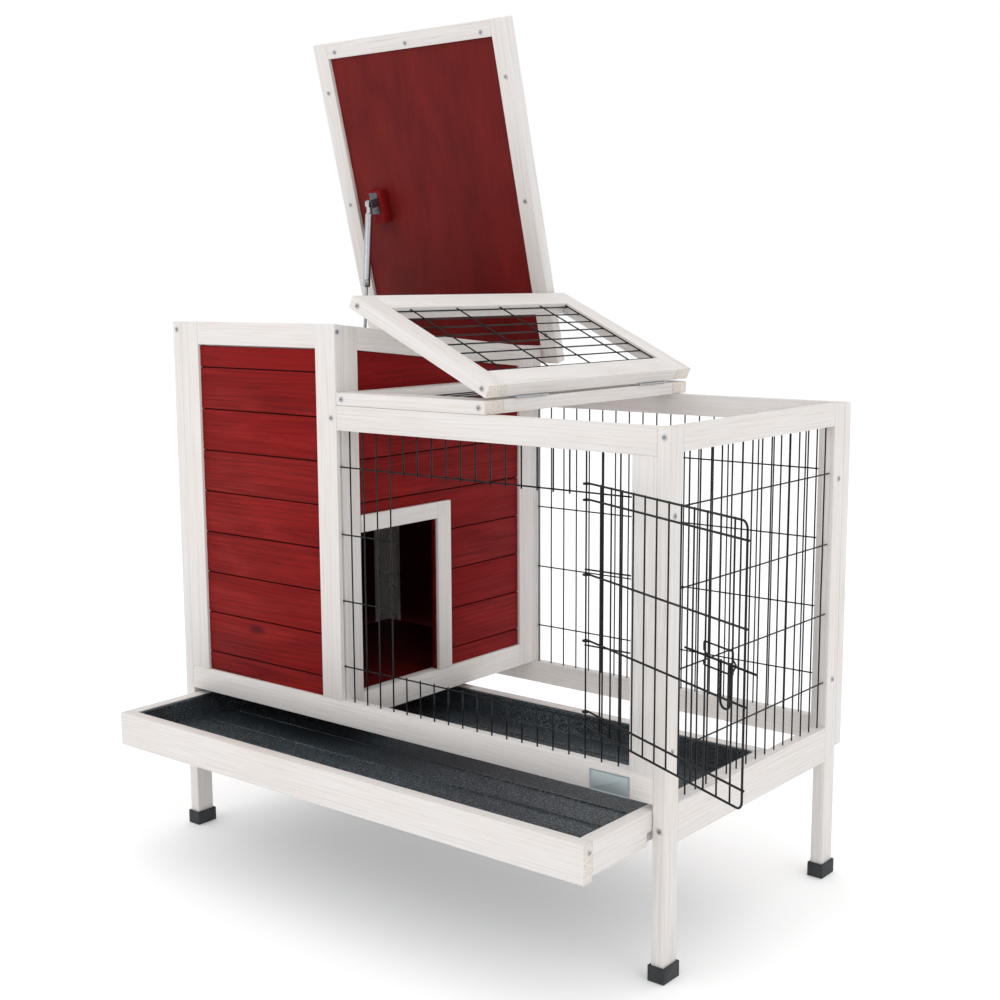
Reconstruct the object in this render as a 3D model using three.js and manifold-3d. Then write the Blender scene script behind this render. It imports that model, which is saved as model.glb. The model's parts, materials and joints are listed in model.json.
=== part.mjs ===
// Rabbit hutch: a timber house with a wire run beside it, on four legs.
// Millimetres, +X along the front towards the run, +Y to the back, +Z up.
// The origin is the middle of the underside of the front left foot.

import * as THREE from 'three'
import { mergeVertices } from 'three/addons/utils/BufferGeometryUtils.js'
import Module from 'manifold-3d'

const wasm = await Module()
wasm.setup()

// ---- driving dimensions ----

const hutchLength = 900        // over the outer faces of the corner posts
const hutchDepth = 454         // front of the front posts to the back of the rear posts
const runHeight = 691          // floor to the top of the run
const houseHeight = 804        // floor to the front top edge of the house
const houseLength = 350        // left outer face to the run side of the divider
const roofFall = 0.1057        // drop of the roof line for each unit of depth

const timber = 18              // thickness of every frame timber
const postWidth = 30           // depth of a corner post
const stileWidth = 39          // face width of a wide frame timber
const railWidth = 34           // face width of a narrow frame timber
const fit = 0.3                // gap between pieces that are cut to each other

const footWall = 2.9           // rubber wall round a post end
const footHeight = 21
const footSole = 3

const sideRailBottom = 176     // low rails of the left and right panels
const sideRailHeight = 51
const frontRailBottom = 228    // long rail under the front panel
const frontRailHeight = 36
const runStileWidth = 35       // stile at the run end of the front panel
const runRailHeight = 35       // rail over the front mesh
const sideTopRailHeight = 31
const backRailBottom = 196
const backPanelDrop = 3        // back stiles stand this far below the back rail

const boardThickness = 8
const boardRecess = 4          // boards lie this far behind the frame's face
const boardPitch = 63.2        // visible height of one cladding board
const firstJoint = 293.5       // height of the lowest joint between boards
const jointWidth = 2           // groove between boards
const jointDepth = 3

const doorwayEdge = 45         // front edge of the doorway and of the divider's boards
const doorwayWidth = 166
const doorwayHeight = 238
const trimSide = 30            // face width of the trim beside the doorway
const trimTop = 25             // face width of the trim over it
const trimThickness = 6
const dividerSillBottom = 231
const dividerSillHeight = 36
const dividerRailHeight = 33

const meshWire = 2.2
const meshPitch = 25.4         // between neighbouring close wires
const meshWeld = 0.2           // how far two welded wires sink into each other
const frontWireY = 6.5         // depth of the front mesh's upright wires
const wireOvershoot = 3        // a wire's end past its last weld
const frontMeshInset = 19.4    // house to the first upright wire of the front mesh
const frontBarEnds = [50, 52.5]  // lowest and highest bar from the rails under and over them
const panelBarEnds = [65, 66.5]  // the same for the back and right meshes
const barCount = 4
const backMeshInset = 3.5
const sideMeshInset = 3.4
const grooveWidth = 5
const grooveDepth = 4

const doorFirstWire = 3        // first mesh wire that bounds the door opening
const doorWiresBeyond = 3      // mesh wires from the hinge wire to the run's end
const doorWire = 2.8
const doorOpen = 155.2         // degrees that the door stands open
const doorPairs = [[-11, 11], [-8.8, 11.3]]  // door bars either side of the lowest and highest mesh bars
const doorMiddle = [0.34, 0.652]  // the two middle bars, as shares of the height between the pairs
const doorCorner = 9           // radius of the door's two free corners
const boltDrop = 4.8           // bolt below the middle of the two middle bars
const boltEnds = [-120.2, 13.8]  // the bolt and its guides along the door, from the free edge
const guideEnds = [-81.7, -27]
const handleEnds = [-54.2, -36.2]
const handleDrop = 52
const guideRise = [-10.5, 16]  // guide wires from the bolt's height
const catchRise = 8.5          // catch prongs above and below the bolt
const catchOverhang = 8
const boltPlay = 0.4           // bolt to the wires that hold it
const hingeWirePlay = 0.9      // door loops round the hinge wire

const lidRearOverhang = 14     // mesh lids past the back panel
const lidBar = 39              // face width of a mesh lid's bars
const fixedLidReach = 271      // house to the axis between the two mesh lids
const lidPinRise = 1.5         // axis above the lids' top face
const lidSeam = 1.2            // each lid's edge stands this far from the axis
const lidHouseGap = 0.5        // mesh lids to the house, and to the open roof
const lidEndGap = 10.5         // folding lid's far edge short of the run's end
const lidWireRise = 3.5        // mesh above the lids' underside
const lidLongStart = 80        // first long wire, their pitch, and the last one from the back
const lidLongPitch = 99.5
const lidLongEnd = 42
const lidCrossStart = 49       // first cross wire from the hinge axis
const lidHingeLength = 70
const lidHingeInset = 97       // hinge centres from the lids' front and back
const lidLeafWidth = 15
const lidKnuckleRadius = 1.8
const leafThickness = 1
const leafGap = 0.1            // under a hinge leaf

const roofHingeBack = 1        // roof axis behind the back panel
const roofGap = 2.4            // between the closed roof's underside and the house
const roofOverhang = 42        // roof's front edge past the house, measured on the slope
const roofTail = 28            // roof axis to the back edge
const roofLeft = -35
const roofRightOverhang = 28.3 // roof past the run side of the divider
const roofStile = 30
const roofFrontRail = 25
const roofThickness = 20
const roofPanel = 5
const roofPanelRecess = 6
const roofAngle = 75.5         // rise of the open roof, degrees
const roofHingeLength = 41
const roofHingeInset = 98      // hinge centres from the house's ends
const roofLeafWidth = 15
const roofKnuckleRadius = 1

const strutX = 50              // plane of the gas strut
const strutAlong = 251.3       // its upper pivot, along the roof from the axis
const strutBelow = 24.8        // the same pivot below the roof's underside
const strutLength = 246        // between the pivots, fully out
const strutLean = 4.53         // degrees from upright, leaning to the back
const strutBody = 139.6        // upper pivot to the lower end of the cylinder
const strutHead = 17           // upper pivot to the top of the cylinder
const cylinderRadius = 6.25
const rodRadius = 2.75
const rodInside = 15           // rod left in the cylinder when fully out
const blockWidth = 30
const blockLength = 55
const blockStart = 215
const blockRise = 12
const bracketPlate = 1.5
const bracketEnds = [16, 20]   // plate either side of the upper pivot
const bracketLeft = 8          // plate's left edge from the strut's plane
const earOffset = 9            // ear's inner face from the strut's plane
const earHalfWidth = 7
const earDrop = 6              // ear below the pivot
const studRadius = 3
const studLength = 16
const headRadius = 7
const headWidth = 9
const neckRadius = 4.5
const boreGap = 4              // solid neck above the cylinder's bore
const rodEyeRadius = 5
const rodEyeWidth = 7
const anchorHeight = 30
const anchorDepth = 40
const anchorGap = 12           // anchor's face from the strut's plane
const anchorStud = 8

const drawerOut = 143          // how far the drawer is pulled out
const drawerBottom = 170
const drawerTop = 220
const drawerSideBottom = 177
const drawerShortfall = 6      // closed drawer's back short of the posts' back
const drawerPlay = 1           // drawer to post, each side
const runnerTop = 194
const runnerHeight = 14
const runnerStart = 135
const rebateDepth = 9
const rebateFront = 133        // closed place of the rebate's front end
const runnerPlay = 0.5         // runner in the side's rebate
const ledgeWidth = 9
const ledgeHeight = 7
const trayWall = 2
const trayClearance = 1
const trayDraft = 4

const plateSize = [60, 28]
const plateThickness = 1.2
const plateRise = 0.2          // plate's lower edge above the rail's
const plateInset = 52          // blank plate from the run's end

const houseFloorTop = 258
const houseFloorThickness = 6

// ---- worked-out places ----

const roofLine = (y) => houseHeight - roofFall * y
const midStileX = houseLength - stileWidth
const backFace = hutchDepth + timber
const frontRailTop = frontRailBottom + frontRailHeight
const runRailBottom = runHeight - runRailHeight
const backRailTop = backRailBottom + railWidth
const sideRailTop = sideRailBottom + sideRailHeight
const sillTop = dividerSillBottom + dividerSillHeight
const dividerX = houseLength - timber
const dividerRear = hutchDepth - stileWidth
const doorwayTop = sillTop + doorwayHeight
const innerPost = hutchLength - timber
const runStileX = innerPost - runStileWidth
const backStileX = hutchLength - stileWidth
const backTopRail = roofLine(backFace) - railWidth
const frontMeshStart = houseLength + frontMeshInset
const frontMeshCount = Math.floor((runStileX - meshWire - frontMeshStart) / meshPitch) + 1
const doorLastWire = frontMeshCount - doorWiresBeyond
const doorHingeX = frontMeshStart + doorLastWire * meshPitch
const doorWidth = (doorLastWire - doorFirstWire) * meshPitch

// bars spread evenly between two rails
function barHeights(bottom, top, [low, high]) {
  const pitch = (top - high - bottom - low) / (barCount - 1)
  return Array.from({ length: barCount }, (_, i) => bottom + low + i * pitch)
}
const frontMeshBars = barHeights(frontRailTop, runRailBottom, frontBarEnds)
const panelMeshBars = barHeights(sideRailTop, runHeight - sideTopRailHeight, panelBarEnds)

const doorLow = doorPairs[0].map((step) => frontMeshBars[0] + step)
const doorHigh = doorPairs[1].map((step) => frontMeshBars[barCount - 1] + step)
const doorMid = doorMiddle.map((share) => doorLow[1] + share * (doorHigh[0] - doorLow[1]))
const doorBars = [...doorLow, ...doorMid, ...doorHigh]
const boltHeight = (doorMid[0] + doorMid[1]) / 2 - boltDrop
const guideHeights = guideRise.map((rise) => boltHeight + rise)
const catchHeights = [boltHeight - catchRise, boltHeight + catchRise]
const [boltStart, boltTip] = boltEnds.map((place) => doorWidth + place)
const [guideStart, guideEnd] = guideEnds.map((place) => doorWidth + place)
const [handleStart, handleEnd] = handleEnds.map((place) => doorWidth + place)

const lidDepth = backFace + lidRearOverhang
const lidHingeX = houseLength + fixedLidReach
const foldingLidReach = hutchLength - lidEndGap - lidHingeX
const lidHingeCentres = [lidHingeInset, lidDepth - lidHingeInset]
const roofReach = backFace + roofHingeBack + roofOverhang
const roofRight = houseLength + roofRightOverhang
const roofHingeCentres = [roofHingeInset, houseLength - roofHingeInset]
const drawerDepth = hutchDepth - drawerShortfall
const drawerInner = drawerDepth - timber
const plateRight = hutchLength - plateInset

// ---- colours ----

const finish = (color, roughness, metalness) => new THREE.MeshStandardMaterial({ color, roughness, metalness })
const whiteWood = finish(0xe6e1da, 0.75, 0)
const redWood = finish(0x8a1c20, 0.7, 0)
const redPlywood = finish(0x6b1416, 0.6, 0)
const blackWire = finish(0x15191d, 0.4, 0.3)
const blackRubber = finish(0x2b3236, 0.8, 0)
const blackTray = finish(0x1c2226, 0.6, 0)
const steel = finish(0xb4b8ba, 0.3, 0.9)
const darkSteel = finish(0x4a5356, 0.4, 0.8)
const plateMetal = finish(0xaab4b8, 0.35, 0.8)

// ---- small tools ----

const hutch = new THREE.Group()
hutch.position.set(-timber / 2, -postWidth / 2, 0)

function add(name, geometry, material, parent = hutch) {
  const mesh = new THREE.Mesh(geometry, material)
  mesh.name = name
  parent.add(mesh)
  return mesh
}

// a box from its lowest corner to its highest
function block([x0, y0, z0], [x1, y1, z1]) {
  const geometry = new THREE.BoxGeometry(x1 - x0, y1 - y0, z1 - z0)
  return geometry.translate((x0 + x1) / 2, (y0 + y1) / 2, (z0 + z1) / 2)
}

// an outline in depth and height, as thick as x0 to x1
function sideOutline(points, x0, x1) {
  const shape = new THREE.Shape(points.map(([y, z]) => new THREE.Vector2(y, z)))
  const geometry = new THREE.ExtrudeGeometry(shape, { depth: x1 - x0, bevelEnabled: false })
  const turn = new THREE.Matrix4().makeBasis(
    new THREE.Vector3(0, 1, 0), new THREE.Vector3(0, 0, 1), new THREE.Vector3(1, 0, 0))
  return geometry.applyMatrix4(turn).translate(x0, 0, 0)
}

// a timber whose top follows the roof line, as tall as its depth range needs
function underRoof(x0, x1, y0, y1, bottom, drop = 0) {
  const points = [[y0, bottom], [y1, bottom], [y1, roofLine(y1) - drop], [y0, roofLine(y0) - drop]]
  return sideOutline(points, x0, x1)
}

// a rail of even height that follows the roof line
function slopedRail(x0, x1, y0, y1, height) {
  const points = [
    [y0, roofLine(y0) - height], [y1, roofLine(y1) - height], [y1, roofLine(y1)], [y0, roofLine(y0)]]
  return sideOutline(points, x0, x1)
}

function solid(geometry) {
  const bare = geometry.clone()
  bare.deleteAttribute('normal')
  bare.deleteAttribute('uv')
  const merged = mergeVertices(bare, 1e-4)
  return new wasm.Manifold(new wasm.Mesh({
    numProp: 3,
    vertProperties: new Float32Array(merged.attributes.position.array),
    triVerts: new Uint32Array(merged.index.array),
  }))
}

function geometryOf(manifold) {
  const mesh = manifold.getMesh()
  const geometry = new THREE.BufferGeometry()
  geometry.setAttribute('position', new THREE.BufferAttribute(mesh.vertProperties, 3))
  geometry.setIndex(new THREE.BufferAttribute(mesh.triVerts, 1))
  return geometry
}

function join(pieces) {
  return geometryOf(pieces.map(solid).reduce((whole, piece) => whole.add(piece)))
}

function cut(body, tools) {
  return geometryOf(tools.map(solid).reduce((whole, tool) => whole.subtract(tool), solid(body)))
}

// a square wire between two points that share two coordinates
function wire(from, to, size) {
  const low = from.map((value, i) => Math.min(value, to[i]) - (value === to[i] ? size / 2 : 0))
  const high = from.map((value, i) => Math.max(value, to[i]) + (value === to[i] ? size / 2 : 0))
  return block(low, high)
}

function rod(radius, length, segments = 16) {
  return new THREE.CylinderGeometry(radius, radius, length, segments)
}

// ---- corner posts and feet ----

function addPost(name, x, y, top) {
  const back = y + postWidth
  const points = [[y, footSole + fit], [back, footSole + fit], [back, top(back)], [y, top(y)]]
  add(`${name}_post`, sideOutline(points, x, x + timber), whiteWood)
  const wall = footWall + fit
  const outer = block([x - wall, y - wall, 0], [x + timber + wall, y + postWidth + wall, footHeight])
  const hole = block([x - fit, y - fit, footSole], [x + timber + fit, y + postWidth + fit, footHeight + 1])
  add(`${name}_foot`, cut(outer, [hole]), blackRubber)
}

addPost('front_left', 0, 0, roofLine)
addPost('rear_left', 0, hutchDepth - postWidth, roofLine)
addPost('front_right', innerPost, 0, () => runHeight)
addPost('rear_right', innerPost, hutchDepth - postWidth, () => runHeight)

// ---- cladding: one panel of boards with grooves between them ----

function jointHeights(bottom, top) {
  const heights = []
  for (let z = firstJoint; z < top - jointWidth; z += boardPitch) {
    if (z > bottom + jointWidth) heights.push(z)
  }
  return heights
}

// ---- left panel ----

add('left_top_rail', slopedRail(0, timber, postWidth, hutchDepth - postWidth, railWidth), whiteWood)
add('left_bottom_rail', block([0, postWidth, sideRailBottom],
  [timber, hutchDepth - postWidth, sideRailTop]), whiteWood)

function outline(y0, y1, bottom, drop, x0, x1) {
  return underRoof(x0, x1, y0 + fit, y1 - fit, bottom + fit, drop + fit)
}

function leftBoards() {
  const y0 = postWidth
  const y1 = hutchDepth - postWidth
  const body = outline(y0, y1, sideRailTop, railWidth, boardRecess, boardRecess + boardThickness)
  const half = jointWidth / 2
  const grooves = jointHeights(sideRailTop, roofLine(y1) - railWidth).map((z) =>
    block([boardRecess - 1, y0, z - half], [boardRecess + jointDepth, y1, z + half]))
  return cut(body, grooves)
}
add('left_boards', leftBoards(), redWood)

// ---- front panel ----

const leftStileEnd = timber + stileWidth
add('front_bottom_rail', block([timber, 0, frontRailBottom], [innerPost, timber, frontRailTop]), whiteWood)
add('front_left_stile', underRoof(timber, leftStileEnd, 0, timber, frontRailTop), whiteWood)
add('house_top_rail', slopedRail(leftStileEnd, midStileX, 0, timber, railWidth), whiteWood)

// grooves that take the ends of the front mesh's long wires
const grooveY = frontWireY + meshWire - meshWeld
const groove = (x0, x1, z0, z1) =>
  block([x0, grooveY - grooveWidth / 2, z0], [x1, grooveY + grooveWidth / 2, z1])
add('front_mid_stile', cut(underRoof(midStileX, houseLength, 0, timber, frontRailTop),
  [groove(houseLength - grooveDepth, houseLength + 1, frontRailTop + fit, runRailBottom)]), whiteWood)
add('run_top_rail', block([houseLength, 0, runRailBottom], [innerPost, timber, runHeight]), whiteWood)
add('front_right_stile', cut(block([runStileX, 0, frontRailTop], [innerPost, timber, runRailBottom]),
  [groove(runStileX - 1, runStileX + grooveDepth, frontRailTop + fit, runRailBottom - fit)]), whiteWood)

function claddingAcross(x0, x1, faceY, inward, bottom, top) {
  const low = Math.min(faceY, faceY + inward * boardThickness)
  const body = block([x0 + fit, low, bottom + fit], [x1 - fit, low + boardThickness, top - fit])
  const half = jointWidth / 2
  const grooves = jointHeights(bottom, top).map((z) => inward > 0
    ? block([x0, faceY - 1, z - half], [x1, faceY + jointDepth, z + half])
    : block([x0, faceY - jointDepth, z - half], [x1, faceY + 1, z + half]))
  return cut(body, grooves)
}
add('front_boards', claddingAcross(leftStileEnd, midStileX, boardRecess, 1, frontRailTop,
  roofLine(timber) - railWidth), redWood)

// ---- back panel, which overlaps the rear posts ----

const backInner = [stileWidth, midStileX]
const backFrameBottom = backRailBottom - backPanelDrop
function backFrame() {
  const y0 = hutchDepth
  const y1 = backFace
  const houseTop = (x0, x1, bottom) => underRoof(x0, x1, y0, y1, bottom)
  return join([
    houseTop(0, stileWidth, backFrameBottom),
    houseTop(midStileX, houseLength, backRailBottom),
    block([backStileX, y0, backFrameBottom], [hutchLength, y1, runHeight]),
    block([stileWidth - 1, y0, backRailBottom], [backStileX + 1, y1, backRailTop]),
    underRoof(stileWidth - 1, midStileX + 1, y0, y1, backTopRail),
    block([houseLength - 1, y0, runHeight - sideTopRailHeight], [backStileX + 1, y1, runHeight]),
  ])
}
add('back_frame', backFrame(), whiteWood)
add('back_boards', claddingAcross(backInner[0], backInner[1], backFace - boardRecess, -1, backRailTop,
  backTopRail), redWood)

// ---- divider between the house and the run ----

const acrossDivider = [dividerX, houseLength]
add('divider_front_stile', underRoof(...acrossDivider, timber, doorwayEdge, dividerSillBottom), whiteWood)
add('divider_rear_stile', underRoof(...acrossDivider, dividerRear, hutchDepth, dividerSillBottom), whiteWood)
add('divider_top_rail', slopedRail(...acrossDivider, doorwayEdge, dividerRear, dividerRailHeight), whiteWood)
add('divider_sill', block([dividerX, doorwayEdge, dividerSillBottom],
  [houseLength, dividerRear, sillTop]), whiteWood)

function dividerBoards() {
  const face = houseLength - boardRecess
  const body = outline(doorwayEdge, dividerRear, sillTop, dividerRailHeight, face - boardThickness, face)
  const opening = block([dividerX, doorwayEdge - 1, sillTop - 1],
    [houseLength, doorwayEdge + doorwayWidth, doorwayTop])
  const half = jointWidth / 2
  const grooves = jointHeights(sillTop, roofLine(dividerRear) - dividerRailHeight).map((z) =>
    block([face - jointDepth, doorwayEdge, z - half], [face + 1, dividerRear, z + half]))
  return cut(body, [opening, ...grooves])
}
add('divider_boards', dividerBoards(), redWood)

function doorwayTrim() {
  const x0 = houseLength - boardRecess + fit
  const x1 = x0 + trimThickness
  const y0 = doorwayEdge + fit
  const y1 = doorwayEdge + doorwayWidth
  return join([
    block([x0, y0, doorwayTop], [x1, y1 + 1, doorwayTop + trimTop]),
    block([x0, y1, sillTop + fit], [x1, y1 + trimSide, doorwayTop + trimTop]),
  ])
}
add('doorway_trim', doorwayTrim(), whiteWood)

// ---- floor of the house, over the tray ----

add('house_floor', block([timber + fit, timber + fit, houseFloorTop - houseFloorThickness],
  [dividerX - fit, hutchDepth - fit, houseFloorTop]), redPlywood)

// ---- right panel ----

add('right_top_rail', block([innerPost, postWidth, runHeight - sideTopRailHeight],
  [hutchLength, hutchDepth - postWidth, runHeight]), whiteWood)
add('right_bottom_rail', block([innerPost, postWidth, sideRailBottom],
  [hutchLength, hutchDepth - postWidth, sideRailTop]), whiteWood)

// ---- welded wire meshes ----

// evenly pitched places from a start that stay clear of an end
function pitched(start, end) {
  const places = []
  for (let place = start; place < end - meshWire; place += meshPitch) places.push(place)
  return places
}

function frontMesh() {
  const bottom = frontRailTop + fit
  const top = runRailBottom - fit
  const lowBar = frontMeshBars[0]
  const highBar = frontMeshBars[barCount - 1]
  const left = houseLength - grooveDepth + 1
  const right = runStileX + grooveDepth - 1
  const barY = frontWireY + meshWire - meshWeld
  const wireX = (i) => frontMeshStart + i * meshPitch
  const uprights = Array.from({ length: frontMeshCount }, (_, i) => {
    const x = wireX(i)
    const inDoor = i > doorFirstWire && i < doorLastWire
    return inDoor
      ? [wire([x, frontWireY, bottom], [x, frontWireY, lowBar + wireOvershoot], meshWire),
        wire([x, frontWireY, highBar - wireOvershoot], [x, frontWireY, top], meshWire)]
      : [wire([x, frontWireY, bottom], [x, frontWireY, top], meshWire)]
  }).flat()
  const bars = frontMeshBars.map((z) => z === lowBar || z === highBar
    ? [wire([left, barY, z], [right, barY, z], meshWire)]
    : [wire([left, barY, z], [wireX(doorFirstWire) + wireOvershoot, barY, z], meshWire),
      wire([wireX(doorLastWire) - wireOvershoot, barY, z], [right, barY, z], meshWire)]).flat()
  const catches = catchHeights.map((z) =>
    wire([wireX(doorFirstWire - 1) - wireOvershoot, barY, z], [wireX(doorFirstWire) + catchOverhang, barY, z],
      meshWire))
  return join([...uprights, ...bars, ...catches])
}
add('front_mesh', frontMesh(), blackWire)

function backMesh() {
  const y = hutchDepth + timber / 2
  const barY = y + meshWire - meshWeld
  const ends = [houseLength + fit, backStileX - fit]
  const bottom = backRailTop + fit
  const top = runHeight - sideTopRailHeight - fit
  const uprights = pitched(houseLength + backMeshInset, ends[1])
    .map((x) => wire([x, y, bottom], [x, y, top], meshWire))
  const bars = panelMeshBars.map((z) => wire([ends[0], barY, z], [ends[1], barY, z], meshWire))
  return join([...uprights, ...bars])
}
add('back_mesh', backMesh(), blackWire)

function rightMesh() {
  const x = innerPost + timber / 2
  const barX = x + meshWire - meshWeld
  const ends = [postWidth + fit, hutchDepth - postWidth - fit]
  const bottom = sideRailTop + fit
  const top = runHeight - sideTopRailHeight - fit
  const uprights = pitched(postWidth + sideMeshInset, ends[1])
    .map((y) => wire([x, y, bottom], [x, y, top], meshWire))
  const bars = panelMeshBars.map((z) => wire([barX, ends[0], z], [barX, ends[1], z], meshWire))
  return join([...uprights, ...bars])
}
add('right_mesh', rightMesh(), blackWire)

// ---- wire door with its sliding bolt ----

const door = new THREE.Group()
door.position.set(doorHingeX, frontWireY, 0)
door.rotation.z = THREE.MathUtils.degToRad(doorOpen - 180)
hutch.add(door)

const doorBarY = meshWire / 2 + hingeWirePlay + doorWire / 2
const doorUprightY = doorBarY + doorWire / 2 + meshWire / 2 - meshWeld
const guideY = doorUprightY + meshWire - meshWeld
const boltY = doorUprightY + meshWire / 2 + boltPlay + doorWire / 2
const stapleY = boltY + doorWire / 2 + boltPlay + meshWire / 2
const handleY = boltY + doorWire - meshWeld

function wireDoor() {
  const low = doorBars[0]
  const high = doorBars[doorBars.length - 1]
  const loops = doorBars.map((z) =>
    new THREE.TorusGeometry(doorBarY, doorWire / 2, 4, 10).rotateZ(Math.PI / 10).translate(0, 0, z))
  const bars = doorBars.map((z) => {
    const outer = z === low || z === high
    const end = outer ? doorWidth - doorCorner : doorWidth + wireOvershoot
    return wire([0, doorBarY, z], [end, doorBarY, z], doorWire)
  })
  const freeEnd = wire([doorWidth, doorBarY, low + doorCorner],
    [doorWidth, doorBarY, high - doorCorner], doorWire)
  const corners = [low, high].map((z) => {
    const up = z === low ? 1 : -1
    const reach = doorCorner + doorWire / 2
    const shape = new THREE.Shape()
    const inner = doorCorner - doorWire / 2
    shape.absarc(0, 0, reach, 0, Math.PI / 2, false)
    shape.absarc(0, 0, inner, Math.PI / 2, 0, true)
    const bend = new THREE.ExtrudeGeometry(shape, { depth: doorWire, bevelEnabled: false, curveSegments: 4 })
    bend.rotateX(Math.PI / 2).translate(0, doorWire / 2, 0)
    if (up > 0) bend.rotateY(Math.PI / 2)
    return bend.translate(doorWidth - doorCorner, doorBarY, z + up * doorCorner)
  })
  const count = doorLastWire - doorFirstWire - 1
  const uprights = Array.from({ length: count }, (_, i) => {
    const x = (i + 1) * meshPitch
    return wire([x, doorUprightY, low], [x, doorUprightY, high], meshWire)
  })
  const guides = guideHeights.map((z) => wire([guideStart - 1, guideY, z], [guideEnd + 1, guideY, z], meshWire))
  const staples = [guideStart, guideEnd].map((x) => [
    wire([x, stapleY, guideHeights[0]], [x, stapleY, guideHeights[1]], meshWire),
    ...guideHeights.map((z) => wire([x, guideY, z], [x, stapleY + meshWire / 2, z], meshWire)),
  ]).flat()
  return join([...loops, ...bars, freeEnd, ...corners, ...uprights, ...guides, ...staples])
}
add('wire_door', wireDoor(), blackWire, door)

function doorBolt() {
  const bottom = boltHeight - handleDrop
  const legs = [handleStart, handleEnd].map((x) =>
    wire([x, handleY, boltHeight + doorWire / 2], [x, handleY, bottom], doorWire))
  return join([
    wire([boltStart, boltY, boltHeight], [boltTip, boltY, boltHeight], doorWire),
    ...legs,
    wire([handleStart - doorWire / 2, handleY, bottom], [handleEnd + doorWire / 2, handleY, bottom], doorWire),
  ])
}
add('door_bolt', doorBolt(), blackWire, door)

// ---- mesh lids over the run ----

const lidBottom = runHeight + fit
const lidTop = lidBottom + timber
const lidPinZ = lidTop + lidPinRise

// a rectangular frame of bars, x0 to x1, with its underside at z0
function lidFrame(x0, x1, z0) {
  const body = block([x0, 0, z0], [x1, lidDepth, z0 + timber])
  const window = block([x0 + lidBar, lidBar, z0 - 1], [x1 - lidBar, lidDepth - lidBar, z0 + timber + 1])
  return cut(body, [window])
}

const longPlaces = [lidDepth - lidLongEnd]
for (let y = lidLongStart; y < lidDepth - 2 * lidLongEnd; y += lidLongPitch) longPlaces.push(y)

// steps from the hinge axis to the cross wires of a lid that reaches so far
function crossSteps(reach) {
  const steps = []
  for (let step = lidCrossStart; step < reach - lidBar - meshWire; step += meshPitch) steps.push(step)
  return steps
}

// long wires along X, close cross wires along Y
function lidMesh(x0, x1, z, crossPlaces) {
  const ends = [x0 + lidBar + fit, x1 - lidBar - fit]
  const long = longPlaces.map((y) => wire([ends[0], y, z], [ends[1], y, z], meshWire))
  const crossZ = z + meshWire - meshWeld
  const cross = crossPlaces.map((x) =>
    wire([x, lidBar + fit, crossZ], [x, lidDepth - lidBar - fit, crossZ], meshWire))
  return join([...long, ...cross])
}

const fixedLid = [houseLength + lidHouseGap, lidHingeX - lidSeam]
add('fixed_lid_frame', lidFrame(fixedLid[0], fixedLid[1], lidBottom), whiteWood)
add('fixed_lid_mesh', lidMesh(fixedLid[0], fixedLid[1], lidBottom + lidWireRise,
  crossSteps(fixedLidReach - fit).map((step) => lidHingeX - step - fit)), blackWire)

// the folding lid leans on the side of the open roof
const lidLean = lidHingeX - roofRight - lidHouseGap
const lidAngle = Math.atan2(lidPinRise, foldingLidReach) +
  Math.acos(-lidLean / Math.hypot(foldingLidReach, lidPinRise))
const folding = new THREE.Group()
folding.position.set(lidHingeX, 0, lidPinZ)
folding.rotation.y = -lidAngle
hutch.add(folding)
const foldedZ = -lidPinRise - timber
add('folding_lid_frame', lidFrame(lidSeam, foldingLidReach, foldedZ), whiteWood, folding)
add('folding_lid_mesh', lidMesh(lidSeam, foldingLidReach, foldedZ + lidWireRise,
  crossSteps(foldingLidReach)), blackWire, folding)

// a leaf on the fixed lid with the knuckle over the seam
function lidHinge(centre) {
  const y0 = centre - lidHingeLength / 2
  const y1 = centre + lidHingeLength / 2
  const low = lidTop + leafGap
  const leaf = block([lidHingeX - lidLeafWidth, y0, low], [lidHingeX, y1, low + leafThickness])
  const knuckle = rod(lidKnuckleRadius, lidHingeLength, 12).rotateY(Math.PI / 12)
    .translate(lidHingeX, centre, lidPinZ)
  return join([leaf, knuckle])
}
lidHingeCentres.forEach((centre, i) => {
  add(`lid_hinge_${i === 0 ? 'front' : 'rear'}`, lidHinge(centre), steel)
})

// ---- roof: a framed panel hinged along the top of the back ----

const roof = new THREE.Group()
const roofAxisY = backFace + roofHingeBack
const roofAxisZ = roofLine(roofAxisY) + roofGap / 2
roof.position.set(0, roofAxisY, roofAxisZ)
roof.rotation.x = THREE.MathUtils.degToRad(-roofAngle)
hutch.add(roof)

// in the roof's own frame -Y runs from the axis to the front edge and +Z is its weather side
const roofUnder = roofGap / 2
const roofBox = (x0, x1, near, far, z0, z1) => block([x0, -far, z0], [x1, -near, z1])
const roofInner = [roofLeft + roofStile, roofRight - roofStile]
const frontRailStart = roofReach - roofFrontRail
const roofTop = roofUnder + roofThickness
add('roof_left_stile', roofBox(roofLeft, roofInner[0], -roofTail, roofReach, roofUnder, roofTop), whiteWood, roof)
add('roof_right_stile', roofBox(roofInner[1], roofRight, -roofTail, roofReach, roofUnder, roofTop), whiteWood, roof)
add('roof_front_rail', roofBox(...roofInner, frontRailStart, roofReach, roofUnder, roofTop), whiteWood, roof)
add('roof_rear_rail', roofBox(...roofInner, -roofTail, 0, roofUnder, roofTop), whiteWood, roof)
const panelFace = roofUnder + roofPanelRecess
add('roof_panel', roofBox(roofInner[0] + fit, roofInner[1] - fit, fit, frontRailStart - fit, panelFace,
  panelFace + roofPanel), redPlywood, roof)

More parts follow.
